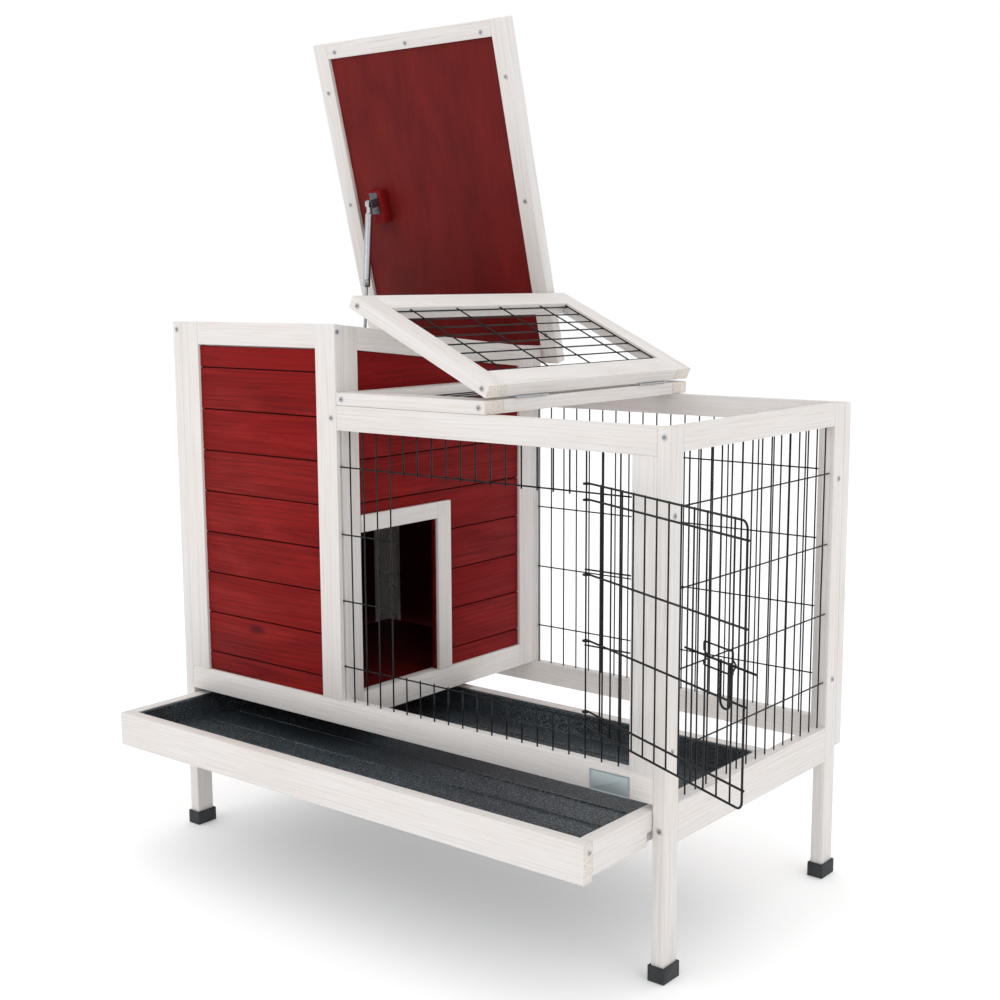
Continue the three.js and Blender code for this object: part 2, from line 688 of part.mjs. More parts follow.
function roofHinge(centre) {
  const x0 = centre - roofHingeLength / 2
  const x1 = centre + roofHingeLength / 2
  const top = (y) => roofLine(y) + leafGap
  const front = roofAxisY - roofLeafWidth
  const leaf = sideOutline([[front, top(front)], [roofAxisY, top(roofAxisY)],
    [roofAxisY, top(roofAxisY) + leafThickness], [front, top(front) + leafThickness]], x0, x1)
  const knuckle = rod(roofKnuckleRadius, roofHingeLength, 12).rotateZ(Math.PI / 2).rotateX(Math.PI / 12)
    .translate(centre, roofAxisY, roofAxisZ)
  return join([leaf, knuckle])
}
roofHingeCentres.forEach((centre, i) => {
  add(`roof_hinge_${i === 0 ? 'left' : 'right'}`, roofHinge(centre), steel)
})

// ---- gas strut ----

const strutTopY = -strutAlong
const strutTopZ = roofUnder - strutBelow
const blockFace = roofUnder - blockRise
add('strut_block', roofBox(strutX - blockWidth / 2, strutX + blockWidth / 2, blockStart, blockStart + blockLength,
  blockFace, panelFace - fit), redWood, roof)

// an upright ear on a screwed plate, with a stud through the strut's head
function strutBracket() {
  const plateZ = blockFace - fit
  const earX = strutX + earOffset
  const plate = block([strutX - bracketLeft, strutTopY - bracketEnds[0], plateZ - bracketPlate],
    [earX + bracketPlate, strutTopY + bracketEnds[1], plateZ])
  const ear = block([earX, strutTopY - earHalfWidth, strutTopZ - earDrop],
    [earX + bracketPlate, strutTopY + earHalfWidth, plateZ])
  const stud = rod(studRadius, studLength).rotateZ(Math.PI / 2)
    .translate(earX + bracketPlate / 2 - studLength / 2, strutTopY, strutTopZ)
  return join([plate, ear, stud])
}
add('strut_bracket', strutBracket(), darkSteel, roof)

// the strut hangs from its upper pivot, turned back upright from the roof's lean
const strut = new THREE.Group()
strut.position.set(strutX, strutTopY, strutTopZ)
strut.rotation.x = THREE.MathUtils.degToRad(roofAngle - strutLean)
roof.add(strut)

// local Z is up the strut; the head is an eye round the bracket's stud
function strutCylinder() {
  const eye = rod(headRadius, headWidth).rotateZ(Math.PI / 2)
  const neck = rod(neckRadius, strutHead + 2).rotateX(Math.PI / 2).translate(0, 0, -(strutHead + 2) / 2)
  const length = strutBody - strutHead
  const tube = rod(cylinderRadius, length, 20).rotateX(Math.PI / 2).translate(0, 0, -strutHead - length / 2)
  const studHole = rod(studRadius + fit, headWidth + 3).rotateZ(Math.PI / 2)
  const boreTop = strutHead + boreGap
  const bore = rod(rodRadius + fit, strutBody - boreTop + 2).rotateX(Math.PI / 2)
    .translate(0, 0, -(boreTop + strutBody + 2) / 2)
  return cut(join([eye, neck, tube]), [studHole, bore])
}
add('strut_cylinder', strutCylinder(), steel, strut)

function strutRod() {
  const top = strutBody - rodInside
  const shaft = rod(rodRadius, strutLength - top - 2).rotateX(Math.PI / 2)
    .translate(0, 0, -(top + strutLength - 2) / 2)
  const eye = rod(rodEyeRadius, rodEyeWidth).rotateZ(Math.PI / 2).translate(0, 0, -strutLength)
  return join([shaft, eye])
}
add('strut_rod', strutRod(), steel, strut)

// the wall block inside the house that takes the strut's lower end
hutch.updateMatrixWorld(true)
const lowerPivot = strut.localToWorld(new THREE.Vector3(0, 0, -strutLength)).sub(hutch.position)
function strutAnchor() {
  const wallFace = timber + fit
  const padEnd = strutX - anchorGap
  const pad = block([wallFace, lowerPivot.y - anchorDepth / 2, lowerPivot.z - anchorHeight / 2],
    [padEnd, lowerPivot.y + anchorDepth / 2, lowerPivot.z + anchorHeight / 2])
  const stud = rod(studRadius, anchorStud).rotateZ(Math.PI / 2)
    .translate(padEnd - 1 + anchorStud / 2, lowerPivot.y, lowerPivot.z)
  return join([pad, stud])
}
add('strut_anchor', strutAnchor(), darkSteel)

// ---- drawer with its tray, and the runners it slides on ----

const drawer = new THREE.Group()
drawer.position.y = -drawerOut
hutch.add(drawer)
const drawerLeft = timber + drawerPlay
const drawerRight = innerPost - drawerPlay
add('drawer_front', block([drawerLeft, 0, drawerBottom], [drawerRight, timber, drawerTop]), whiteWood, drawer)
add('drawer_back', block([drawerLeft + timber, drawerInner, drawerSideBottom],
  [drawerRight - timber, drawerDepth, drawerTop]), whiteWood, drawer)

// `outer` is the side's outer face and `inward` points to the drawer's middle
function drawerSide(outer, inward) {
  const span = (from, to, y0, y1, z0, z1) => {
    const a = outer + inward * from
    const b = outer + inward * to
    return block([Math.min(a, b), y0, z0], [Math.max(a, b), y1, z1])
  }
  const body = join([
    span(0, timber, timber, drawerDepth, drawerSideBottom, drawerTop),
    span(timber - 1, timber + ledgeWidth, timber, drawerInner, drawerSideBottom, drawerSideBottom + ledgeHeight),
  ])
  const rebate = span(-1, rebateDepth, rebateFront, drawerDepth + 1, drawerSideBottom - 1, runnerTop + runnerPlay)
  return cut(body, [rebate])
}
add('drawer_left_side', drawerSide(drawerLeft, 1), whiteWood, drawer)
add('drawer_right_side', drawerSide(drawerRight, -1), whiteWood, drawer)

function drawerTray() {
  const x0 = drawerLeft + timber + trayClearance
  const x1 = drawerRight - timber - trayClearance
  const y0 = timber + trayClearance
  const y1 = drawerInner - trayClearance
  const z0 = drawerSideBottom + ledgeHeight
  const z1 = drawerTop - 1
  const basin = (inset, bottom, top) => {
    const draft = trayDraft
    const corners = (grow) => {
      const shape = new THREE.Shape()
      shape.moveTo(x0 + inset - grow, y0 + inset - grow)
      shape.lineTo(x1 - inset + grow, y0 + inset - grow)
      shape.lineTo(x1 - inset + grow, y1 - inset + grow)
      shape.lineTo(x0 + inset - grow, y1 - inset + grow)
      return shape.getPoints()
    }
    const low = corners(-draft)
    const high = corners(0)
    const positions = [...low.map((p) => [p.x, p.y, bottom]), ...high.map((p) => [p.x, p.y, top])].flat()
    const faces = [0, 2, 1, 0, 3, 2, 4, 5, 6, 4, 6, 7]
    for (let i = 0; i < 4; i++) {
      const j = (i + 1) % 4
      faces.push(i, j, 4 + j, i, 4 + j, 4 + i)
    }
    const geometry = new THREE.BufferGeometry()
    geometry.setAttribute('position', new THREE.Float32BufferAttribute(positions, 3))
    geometry.setIndex(faces)
    return geometry
  }
  return cut(basin(0, z0, z1), [basin(trayWall, z0 + trayWall, z1 + 1)])
}
add('tray', drawerTray(), blackTray, drawer)

function runner(outer, inward) {
  const a = outer - inward * (drawerPlay - fit)
  const b = outer + inward * (rebateDepth - runnerPlay)
  return block([Math.min(a, b), runnerStart, runnerTop - runnerHeight],
    [Math.max(a, b), hutchDepth - postWidth, runnerTop])
}
add('runner_left', runner(drawerLeft, 1), whiteWood)
add('runner_right', runner(drawerRight, -1), whiteWood)

// ---- blank plate on the front rail ----

add('blank_plate', block([plateRight - plateSize[0], -plateThickness, frontRailBottom + plateRise],
  [plateRight, 0, frontRailBottom + plateSize[1]]), plateMetal)

export default hutch
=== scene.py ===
import json
import math
import random

import bmesh
import bpy
from mathutils import Matrix, Vector


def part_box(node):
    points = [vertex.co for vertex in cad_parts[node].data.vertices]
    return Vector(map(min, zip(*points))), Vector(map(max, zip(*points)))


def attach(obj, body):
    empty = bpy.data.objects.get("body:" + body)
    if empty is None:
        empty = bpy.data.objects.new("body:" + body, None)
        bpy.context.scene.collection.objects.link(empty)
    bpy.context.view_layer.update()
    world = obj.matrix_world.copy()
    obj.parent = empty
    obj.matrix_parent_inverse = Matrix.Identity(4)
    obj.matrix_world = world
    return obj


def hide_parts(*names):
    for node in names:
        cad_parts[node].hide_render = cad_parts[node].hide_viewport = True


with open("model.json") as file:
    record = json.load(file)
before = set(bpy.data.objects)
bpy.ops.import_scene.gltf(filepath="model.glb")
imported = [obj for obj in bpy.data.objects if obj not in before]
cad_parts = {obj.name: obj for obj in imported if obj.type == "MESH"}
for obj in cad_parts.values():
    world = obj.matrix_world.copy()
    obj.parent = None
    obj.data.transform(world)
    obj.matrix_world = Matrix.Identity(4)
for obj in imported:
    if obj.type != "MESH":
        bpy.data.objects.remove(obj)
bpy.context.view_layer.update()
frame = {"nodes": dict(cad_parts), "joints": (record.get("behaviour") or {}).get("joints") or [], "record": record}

mm = 0.001
joints = {joint["name"]: joint for joint in frame["joints"]}
bodyOf = {node: body for body, nodes in frame["record"]["behaviour"]["bodies"].items() for node in nodes}
print("frame loaded:", len(frame["nodes"]), "nodes")


# the frames of the parts that swing, as they stand at rest

def jointFrame(name, degrees, axis, level=None):
    spot = Vector(joints[name]["pos_m"])
    if level is not None:
        spot.z = level
    return Matrix.Translation(spot) @ Matrix.Rotation(math.radians(degrees), 4, axis)


openAngles = {"roof": 75.5, "door": 24.8, "strutLean": 4.53}
lidHinge = Vector(joints["lid_hinge"]["pos_m"])
lidSwing = -joints["lid_hinge"]["range_deg"][1]
lidFrame = Matrix.Translation(lidHinge) @ Matrix.Rotation(math.radians(lidSwing), 4, "Y")
lidFrame = lidFrame @ Matrix.Translation(-lidHinge)      # takes the closed lid to its open place
roofFrame = jointFrame("roof_hinge", -openAngles["roof"], "X")
roofFrame.translation.x = 0
doorFrame = jointFrame("door_hinge", -openAngles["door"], "Z", 0)
strutFrame = jointFrame("strut_pivot", -openAngles["strutLean"], "X")
world = Matrix.Identity(4)


# shader maths: a socket that can be added, multiplied and so on

class Socket:
    def __init__(self, paint, link):
        self.paint = paint
        self.link = link

    def __add__(self, other):
        return self.paint.maths("ADD", self, other)

    def __sub__(self, other):
        return self.paint.maths("SUBTRACT", self, other)

    def __rsub__(self, other):
        return self.paint.maths("SUBTRACT", other, self)

    def __mul__(self, other):
        return self.paint.maths("MULTIPLY", self, other)

    __radd__ = __add__
    __rmul__ = __mul__


class Paint:
    def __init__(self, name):
        self.material = bpy.data.materials.new(name)
        self.material.use_nodes = True
        self.nodes = self.material.node_tree.nodes
        self.links = self.material.node_tree.links
        self.shader = self.nodes["Principled BSDF"]

    def node(self, kind, settings, values, output=0):
        made = self.nodes.new("ShaderNode" + kind)
        stops = settings.pop("stops", None)
        for key, value in settings.items():
            setattr(made, key, value)
        if stops:
            while len(made.color_ramp.elements) < len(stops):
                made.color_ramp.elements.new(0.5)
            for element, (place, shade) in zip(made.color_ramp.elements, stops):
                element.position = place
                element.color = (shade, shade, shade, 1)
        for key, value in values.items():
            self.put(made.inputs[key], value)
        return Socket(self, made.outputs[output])

    def put(self, socket, value):
        if isinstance(value, Socket):
            self.links.new(value.link, socket)
        else:
            socket.default_value = value

    def maths(self, operation, *values):
        return self.node("Math", {"operation": operation}, dict(enumerate(values)))

    def clip(self, value):
        return self.node("Math", {"operation": "ADD", "use_clamp": True}, {0: value, 1: 0.0})

    def ramp(self, value, *stops):
        return self.node("ValToRGB", {"stops": stops}, {0: value})

    def mix(self, amount, first, second):
        return self.node("Mix", {"data_type": "RGBA"}, {0: amount, 6: first, 7: second}, 2)

    def stretch(self, vector, scale):
        return self.node("VectorMath", {"operation": "MULTIPLY"}, {0: vector, 1: scale})

    def noise(self, vector, scale, detail=3.0, rough=0.5, twist=0.0):
        values = {"Vector": vector, "Scale": scale, "Detail": detail, "Roughness": rough, "Distortion": twist}
        return self.node("TexNoise", {}, values)

    def attribute(self, name, output):
        return self.node("Attribute", {"attribute_name": name}, {}, output)

    def spot(self):
        return self.node("TexCoord", {}, {}, 3)

    def bump(self, height, depth, strength=1.0):
        return self.node("Bump", {}, {"Height": height, "Distance": depth, "Strength": strength})

    def finish(self, **values):
        for key, value in values.items():
            self.put(self.shader.inputs[key.replace("_", " ")], value)
        return self.material


def colour(red, green, blue):
    return (red, green, blue, 1.0)


# grain runs along the first axis of the "grain" attribute, "endGrain" is 1 on cut ends

def whiteWood():
    look = {"paint": colour(0.745, 0.716, 0.70), "streak": colour(0.60, 0.55, 0.505),
            "cut": colour(0.56, 0.46, 0.35), "stain": colour(0.66, 0.585, 0.51), "depth": 0.00026}
    paint = Paint("whiteWood")
    grain = paint.attribute("grain", 1)
    cut = paint.attribute("endGrain", 2)
    fibre = paint.noise(paint.stretch(grain, (9, 420, 420)), 1.0, 3.0, 0.6)
    band = paint.noise(paint.stretch(grain, (2.2, 46, 46)), 1.0, 3.0, 0.5, 1.1)
    rings = paint.node("TexWave", {"bands_direction": "Y"}, {
        "Vector": paint.stretch(grain, (1.2, 10, 6)), "Scale": 5.0, "Distortion": 9.0,
        "Detail": 2.0, "Detail Scale": 0.9})
    rings = paint.ramp(rings, (0.0, 0.0), (0.62, 0.1), (0.86, 1.0), (1.0, 0.35))
    fine = paint.ramp(fibre, (0.42, 0.0), (0.72, 1.0))
    broad = paint.ramp(band, (0.44, 0.0), (0.7, 1.0))
    streaks = paint.clip(fine * 0.34 + rings * fine * 0.46 + rings * 0.13)
    tone = paint.mix(streaks, look["paint"], look["streak"])
    patch = paint.ramp(paint.noise(grain, 7.0, 2.0), (0.5, 0.0), (0.78, 1.0))
    tone = paint.mix(paint.clip(broad * 0.18 + patch * 0.22), tone, look["stain"])
    pores = paint.noise(paint.stretch(grain, (200, 330, 330)), 1.0, 3.0)
    cutTone = paint.mix(paint.ramp(pores, (0.35, 0.0), (0.7, 1.0)), look["paint"], look["cut"])
    tone = paint.mix(paint.clip(cut * 0.75), tone, cutTone)
    relief = fine * -0.55 + rings * -0.35 + fibre * 0.3
    return paint.finish(Base_Color=tone, Roughness=0.56 + fine * 0.16 + broad * 0.06,
                        Specular_IOR_Level=0.3, Normal=paint.bump(relief, look["depth"], 0.8))


def redWood():
    look = {"stain": colour(0.215, 0.0062, 0.0062), "pale": colour(0.300, 0.016, 0.014),
            "dark": colour(0.085, 0.0045, 0.0052), "knotAndShade": colour(0.045, 0.004, 0.005),
            "joint": colour(0.018, 0.002, 0.0025), "depth": 0.0003}
    paint = Paint("redWood")
    grain = paint.attribute("grain", 1)
    tint = paint.attribute("tint", 2)
    fibre = paint.noise(paint.stretch(grain, (7, 330, 330)), 1.0, 4.0, 0.6)
    band = paint.noise(paint.stretch(grain, (3.0, 34, 34)), 1.0, 4.0, 0.55, 1.4)
    cloud = paint.noise(paint.stretch(grain, (8, 22, 22)), 1.0, 3.0, 0.5, 0.6)
    rings = paint.node("TexWave", {"bands_direction": "Y"}, {
        "Vector": paint.stretch(grain, (1.0, 9, 6)), "Scale": 4.2, "Distortion": 12.0,
        "Detail": 2.5, "Detail Scale": 0.8})
    rings = paint.ramp(rings, (0.0, 0.0), (0.6, 0.15), (0.88, 1.0), (1.0, 0.4))
    fine = paint.ramp(fibre, (0.4, 0.0), (0.72, 1.0))
    tone = paint.mix(paint.clip(paint.ramp(cloud, (0.42, 0.0), (0.72, 1.0)) * 0.75 + tint * 0.4),
                     look["stain"], look["pale"])
    tone = paint.mix(paint.clip(fine * 0.32 + rings * 0.3 + paint.ramp(band, (0.46, 0.0), (0.74, 1.0)) * 0.42
                                + tint * 0.22), tone, look["dark"])
    near = paint.node("TexVoronoi", {}, {"Vector": paint.stretch(grain, (4.6, 10, 10)), "Scale": 1.0})
    tone = paint.mix(paint.ramp(near, (0.0, 0.85), (0.055, 0.55), (0.1, 0.0)), tone, look["knotAndShade"])
    # faces towards the house are darkened to the knot colour: painted shade of the unlit inside
    tone = paint.mix(paint.clip(paint.attribute("inside", 2) * 0.8), tone, look["knotAndShade"])
    tone = paint.mix(paint.clip(paint.attribute("seam", 2) * 0.9), tone, look["joint"])
    return paint.finish(Base_Color=tone, Roughness=0.5 + fine * 0.2 + band * 0.08, Specular_IOR_Level=0.08,
                        Normal=paint.bump(fine * -0.6 + rings * -0.4 + fibre * 0.3, look["depth"], 0.8))


def redPlywood():
    look = {"stain": colour(0.115, 0.0048, 0.0042), "pale": colour(0.170, 0.0085, 0.0068),
            "dark": colour(0.072, 0.0035, 0.0036), "depth": 0.00012}
    paint = Paint("redPlywood")
    grain = paint.attribute("grain", 1)
    fibre = paint.noise(paint.stretch(grain, (14, 520, 520)), 1.0, 3.0)
    cloud = paint.noise(paint.stretch(grain, (6, 15, 15)), 1.0, 4.0, 0.55, 0.8)
    tone = paint.mix(paint.ramp(cloud, (0.34, 0.0), (0.68, 1.0)), look["stain"], look["pale"])
    tone = paint.mix(paint.clip(paint.ramp(fibre, (0.44, 0.0), (0.74, 1.0)) * 0.5), tone, look["dark"])
    return paint.finish(Base_Color=tone, Roughness=0.46 + fibre * 0.16, Specular_IOR_Level=0.14,
                        Normal=paint.bump(fibre, look["depth"], 0.7))


def blackWire():
    paint = Paint("blackWire")
    speck = paint.noise(paint.spot(), 900.0, 2.0)
    tone = paint.mix(speck, colour(0.0025, 0.0035, 0.0045), colour(0.006, 0.0085, 0.0105))
    return paint.finish(Base_Color=tone, Roughness=0.34 + speck * 0.14, Metallic=0.0,
                        Specular_IOR_Level=0.22, Normal=paint.bump(speck, 0.00012, 0.5))


def rubber():
    paint = Paint("rubber")
    speck = paint.noise(paint.spot(), 650.0, 3.0)
    dust = paint.noise(paint.spot(), 60.0, 3.0)
    tone = paint.mix(paint.ramp(dust, (0.4, 0.0), (0.75, 1.0)), colour(0.0135, 0.0175, 0.021),
                     colour(0.032, 0.037, 0.041))
    return paint.finish(Base_Color=tone, Roughness=0.58 + speck * 0.16, Normal=paint.bump(speck, 0.0002, 0.5))


def trayPlastic():
    paint = Paint("trayPlastic")
    pebble = paint.node("TexVoronoi", {}, {"Vector": paint.spot(), "Scale": 330.0})
    speck = paint.noise(paint.spot(), 620.0, 2.0)
    drift = paint.noise(paint.spot(), 14.0, 3.0)
    tone = paint.mix(drift, colour(0.0085, 0.012, 0.0155), colour(0.020, 0.026, 0.032))
    # pale blue-grey specks in patches are painted glints in the base colour; the same spots are also made glossier
    patches = paint.noise(paint.stretch(paint.spot(), (3, 16, 3)), 1.0, 3.0)
    glintPatches = paint.ramp(patches, (0.42, 0.15), (0.62, 1.0))
    paintedGlint = paint.ramp(speck, (0.54, 0.0), (0.6, 1.0)) * glintPatches
    tone = paint.mix(paint.clip(paintedGlint * 0.9), tone, colour(0.16, 0.21, 0.24))
    return paint.finish(Base_Color=tone, Roughness=0.42 - paintedGlint * 0.14 + drift * 0.1,
                        Specular_IOR_Level=0.4, Normal=paint.bump(pebble * -1.0 + speck * 0.5, 0.0009, 1.0))


def brightSteel(name="brightSteel", tone=0.52, rough=0.26):
    paint = Paint(name)
    cloud = paint.noise(paint.spot(), 140.0, 4.0)
    lines = paint.noise(paint.stretch(paint.spot(), (900, 900, 60)), 1.0, 2.0)
    shade = paint.mix(cloud, colour(tone, tone, tone * 1.02), colour(tone * 0.72, tone * 0.74, tone * 0.78))
    # the cross slots of the screw heads are painted near black: painted shade in the slot
    paintedSlotShade = paint.attribute("paintedSlotShade", 2)
    shade = paint.mix(paint.clip(paintedSlotShade * 0.95), shade, colour(0.02, 0.02, 0.022))
    return paint.finish(Base_Color=shade, Roughness=rough + cloud * 0.12 + lines * 0.06, Metallic=1.0,
                        Normal=paint.bump(lines, 0.00005, 0.4))


def satinPlate():
    paint = Paint("satinPlate")
    lines = paint.noise(paint.stretch(paint.spot(), (40, 900, 1400)), 1.0, 2.0)
    shade = paint.mix(lines, colour(0.36, 0.42, 0.435), colour(0.43, 0.49, 0.505))
    return paint.finish(Base_Color=shade, Roughness=0.34 + lines * 0.14, Metallic=0.3,
                        Normal=paint.bump(lines, 0.00004, 0.4))


finishes = {
    "white_wood": whiteWood(), "red_wood": redWood(), "red_plywood": redPlywood(), "black_wire": blackWire(),
    "rubber": rubber(), "tray_plastic": trayPlastic(), "zinc": brightSteel(),
    "strut_steel": brightSteel("darkSteel", 0.14, 0.36), "plate_metal": satinPlate(),
}
slotOf = {part["node"]: part["material_slot"] for part in frame["record"]["subparts"]}
print("finishes made:", len(finishes))


# from a bmesh to a piece that rides on its body

def piece(name, form, slotName, body, place=world, stands=(), smooth=None):
    mesh = bpy.data.meshes.new(name)
    form.transform(place)
    if smooth is not None:
        for face in form.faces:
            face.smooth = True
        limit = math.radians(smooth)
        for edge in form.edges:
            edge.smooth = len(edge.link_faces) == 2 and edge.calc_face_angle(0) < limit
    form.to_mesh(mesh)
    form.free()
    made = bpy.data.objects.new(name, mesh)
    bpy.context.scene.collection.objects.link(made)
    mesh.materials.append(finishes[slotName])
    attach(made, body)
    if stands:
        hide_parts(*stands)


# a copy of a CAD node as whole flat faces
def copyOf(node):
    form = bmesh.new()
    form.from_mesh(frame["nodes"][node].data)
    bmesh.ops.remove_doubles(form, verts=form.verts, dist=0.00002)
    bmesh.ops.dissolve_limit(form, angle_limit=math.radians(0.6), verts=form.verts, edges=form.edges)
    return form


def softenEdges(form, size, segments=2, sharper=35):
    limit = math.radians(sharper)
    edges = [edge for edge in form.edges if len(edge.link_faces) == 2
             and edge.calc_face_angle(0) > limit and edge.is_convex]
    bmesh.ops.bevel(form, geom=edges, offset=size, offset_type="OFFSET", affect="EDGES", segments=segments,
                    profile=0.5, material=-1, clamp_overlap=True)


def block(form, low, high, place=world):
    low, high = Vector(low), Vector(high)
    made = bmesh.ops.create_cube(form, size=1.0)["verts"]
    bmesh.ops.scale(form, verts=made, vec=high - low)
    bmesh.ops.translate(form, verts=made, vec=(low + high) / 2)
    bmesh.ops.transform(form, verts=made, matrix=place)
    return made


def barrel(form, start, end, radius, segments):
    start, end = Vector(start), Vector(end)
    along = end - start
    made = bmesh.ops.create_cone(form, cap_ends=True, segments=segments, radius1=radius, radius2=radius,
                                 depth=along.length)["verts"]
    turn = Vector((0, 0, 1)).rotation_difference(along).to_matrix().to_4x4()
    bmesh.ops.transform(form, verts=made, matrix=Matrix.Translation((start + end) / 2) @ turn)
    return made


# every vertex that hangs together with the given ones, in the order they are met
def linked(verts):
    found = list(verts)
    seen = set(found)
    for v in found:
        for other in (edge.other_vert(v) for edge in v.link_edges):
            if other not in seen:
                seen.add(other)
                found.append(other)
    return found


def addForm(whole, part):
    scrap = bpy.data.meshes.new("scrap")
    part.to_mesh(scrap)
    part.free()
    whole.from_mesh(scrap)
    bpy.data.meshes.remove(scrap)


# a closed shape turned round Z from a radius and height list
def turned(form, profile, segments=28, place=world):
    verts = [form.verts.new((radius, 0, height)) for radius, height in profile]
    edges = [form.edges.new(pair) for pair in zip(verts, verts[1:])]
    bmesh.ops.spin(form, geom=verts + edges, cent=(0, 0, 0), axis=(0, 0, 1), angle=math.tau,
                   steps=segments, use_merge=True)
    swept = linked(v for v in verts if v.is_valid)
    bmesh.ops.remove_doubles(form, verts=swept, dist=0.000001)
    swept = [v for v in swept if v.is_valid]
    faces = list(dict.fromkeys(face for v in swept for face in v.link_faces))
    bmesh.ops.recalc_face_normals(form, faces=faces)
    bmesh.ops.transform(form, verts=swept, matrix=place)


def grainLayers(form):
    layers = form.loops.layers
    return layers.float_vector.new("grain"), layers.float.new("endGrain"), layers.float.new("tint")


def grainShift(dice):
    return Vector([dice.uniform(-40, 40) for _ in range(3)])


# writes where each face lies in its own timber, so the grain follows each board
def addGrain(form, along, seed, boards=None):
    along = Vector(along).normalized()
    aside = along.orthogonal().normalized()
    if abs(along.z) < 0.9:
        aside = (Vector((0, 0, 1)) - along * along.z).normalized()
    across = along.cross(aside)
    grain, endGrain, tint = grainLayers(form)
    for face in form.faces:
        board = boards(face.calc_center_median()) if boards else 0
        dice = random.Random(seed * 97 + board)
        shift = grainShift(dice)
        shade = dice.uniform(-1, 1)
        cut = 1.0 if abs(face.normal.dot(along)) > 0.8 else 0.0
        for loop in face.loops:
            spot = loop.vert.co
            loop[grain] = Vector((spot.dot(along), spot.dot(aside), spot.dot(across))) + shift
            loop[endGrain] = cut
            loop[tint] = shade


def longestAxis(form):
    edge = max(form.edges, key=lambda e: e.calc_length())
    return (edge.verts[1].co - edge.verts[0].co).normalized()


# white timbers: each is the CAD's own shape with eased edges

timberLook = {"edge": 0.9 * mm, "segments": 2, "stile": 39 * mm, "gap": 0.3 * mm, "trimSide": 30 * mm,
              "trimTop": 25 * mm}
smoothUnder = {"wood": 40, "wire": 50, "metal": 35, "tray": 45}      # degrees between faces that shade as one
timbers = [node for node in frame["nodes"] if slotOf[node] == "white_wood"
           and node not in ("back_frame", "fixed_lid_frame", "folding_lid_frame", "doorway_trim",
                            "drawer_left_side", "drawer_right_side")]


def eased(form, along, seed):
    along = longestAxis(form) if along is None else along
    softenEdges(form, timberLook["edge"], timberLook["segments"])
    addGrain(form, along, seed)


for seed, node in enumerate(sorted(timbers)):
    timber = copyOf(node)
    eased(timber, None, seed)
    piece(node + "_wood", timber, slotOf[node], bodyOf[node], stands=[node], smooth=smoothUnder["wood"])
for seed, node in enumerate(("drawer_left_side", "drawer_right_side")):
    timber = copyOf(node)
    eased(timber, (0, 1, 0), 60 + seed)
    piece(node + "_wood", timber, slotOf[node], bodyOf[node], stands=[node], smooth=smoothUnder["wood"])


# frames of several bars: one solid for each bar, so the joints between them are real

def joined(bars, seed):
    whole = bmesh.new()
    for number, (low, high, along) in enumerate(bars):
        bar = bmesh.new()
        block(bar, low, high)
        eased(bar, along, seed + number)
        addForm(whole, bar)
    return whole


def lidBars(low, high, seed):
    bar = timberLook["stile"]
    (x0, y0, z0), (x1, y1, z1) = low, high
    return joined([
        ((x0, y0, z0), (x1, y0 + bar, z1), (1, 0, 0)),
        ((x0, y1 - bar, z0), (x1, y1, z1), (1, 0, 0)),
        ((x0, y0 + bar, z0), (x0 + bar, y1 - bar, z1), (0, 1, 0)),
        ((x1 - bar, y0 + bar, z0), (x1, y1 - bar, z1), (0, 1, 0)),
    ], seed)


fixedLow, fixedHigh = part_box("fixed_lid_frame")
piece("fixed_lid_wood", lidBars(fixedLow, fixedHigh, 200), "white_wood", "hutch",
      stands=["fixed_lid_frame"], smooth=smoothUnder["wood"])
lidReach = 268.5 * mm                      # far edge of the folding lid from its hinge
lidGap = lidHinge.x - fixedHigh.x          # each lid's edge to the hinge's axis
foldingLow = Vector((lidHinge.x + lidGap, fixedLow.y, fixedLow.z))
foldingHigh = Vector((lidHinge.x + lidReach, fixedHigh.y, fixedHigh.z))
piece("folding_lid_wood", lidBars(foldingLow, foldingHigh, 210), "white_wood", "folding_lid", lidFrame,
      ["folding_lid_frame"], smoothUnder["wood"])


# the back frame keeps the CAD's outline, cut into its timbers
def backTimbers():
    form = copyOf("back_frame")
    low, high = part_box("back_frame")
    wide = timberLook["stile"]
    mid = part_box("back_boards")[1].x + timberLook["gap"]
    for x in (low.x + wide, mid, mid + wide, high.x - wide):
        everything = form.verts[:] + form.edges[:] + form.faces[:]
        bmesh.ops.bisect_plane(form, geom=everything, plane_co=(x, 0, 0), plane_no=(1, 0, 0))
    upright = [(low.x, low.x + wide), (mid, mid + wide), (high.x - wide, high.x)]
    grain, endGrain, tint = grainLayers(form)
    for face in form.faces:
        centre = face.calc_center_median()
        stile = [i for i, (a, b) in enumerate(upright) if a - 1e-5 <= centre.x <= b + 1e-5]
        number = stile[0] if stile else 3 + (centre.z > low.z + 0.2) + 2 * (centre.x > mid)
        dice = random.Random(700 + number)
        shift = grainShift(dice)
        for loop in face.loops:
            spot = loop.vert.co
            laid = (spot.z, spot.x, spot.y) if stile else (spot.x, spot.z, spot.y)
            loop[grain] = Vector(laid) + shift
            loop[endGrain] = 1.0 if stile and abs(face.normal.z) > 0.8 else 0.0
            loop[tint] = 0.0
    softenEdges(form, timberLook["edge"], timberLook["segments"])
    return form


piece("back_frame_wood", backTimbers(), "white_wood", "hutch", stands=["back_frame"],
      smooth=smoothUnder["wood"])


def trimBars():
    low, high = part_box("doorway_trim")
    side, top = timberLook["trimSide"], timberLook["trimTop"]
    return joined([
        ((low.x, low.y, high.z - top), (high.x, high.y - side, high.z), (0, 1, 0)),
        ((low.x, high.y - side, low.z), (high.x, high.y, high.z), (0, 0, 1)),
    ], 230)


piece("doorway_trim_wood", trimBars(), "white_wood", "hutch", stands=["doorway_trim"],
      smooth=smoothUnder["wood"])
print("white timbers dressed:", len(timbers) + 6)


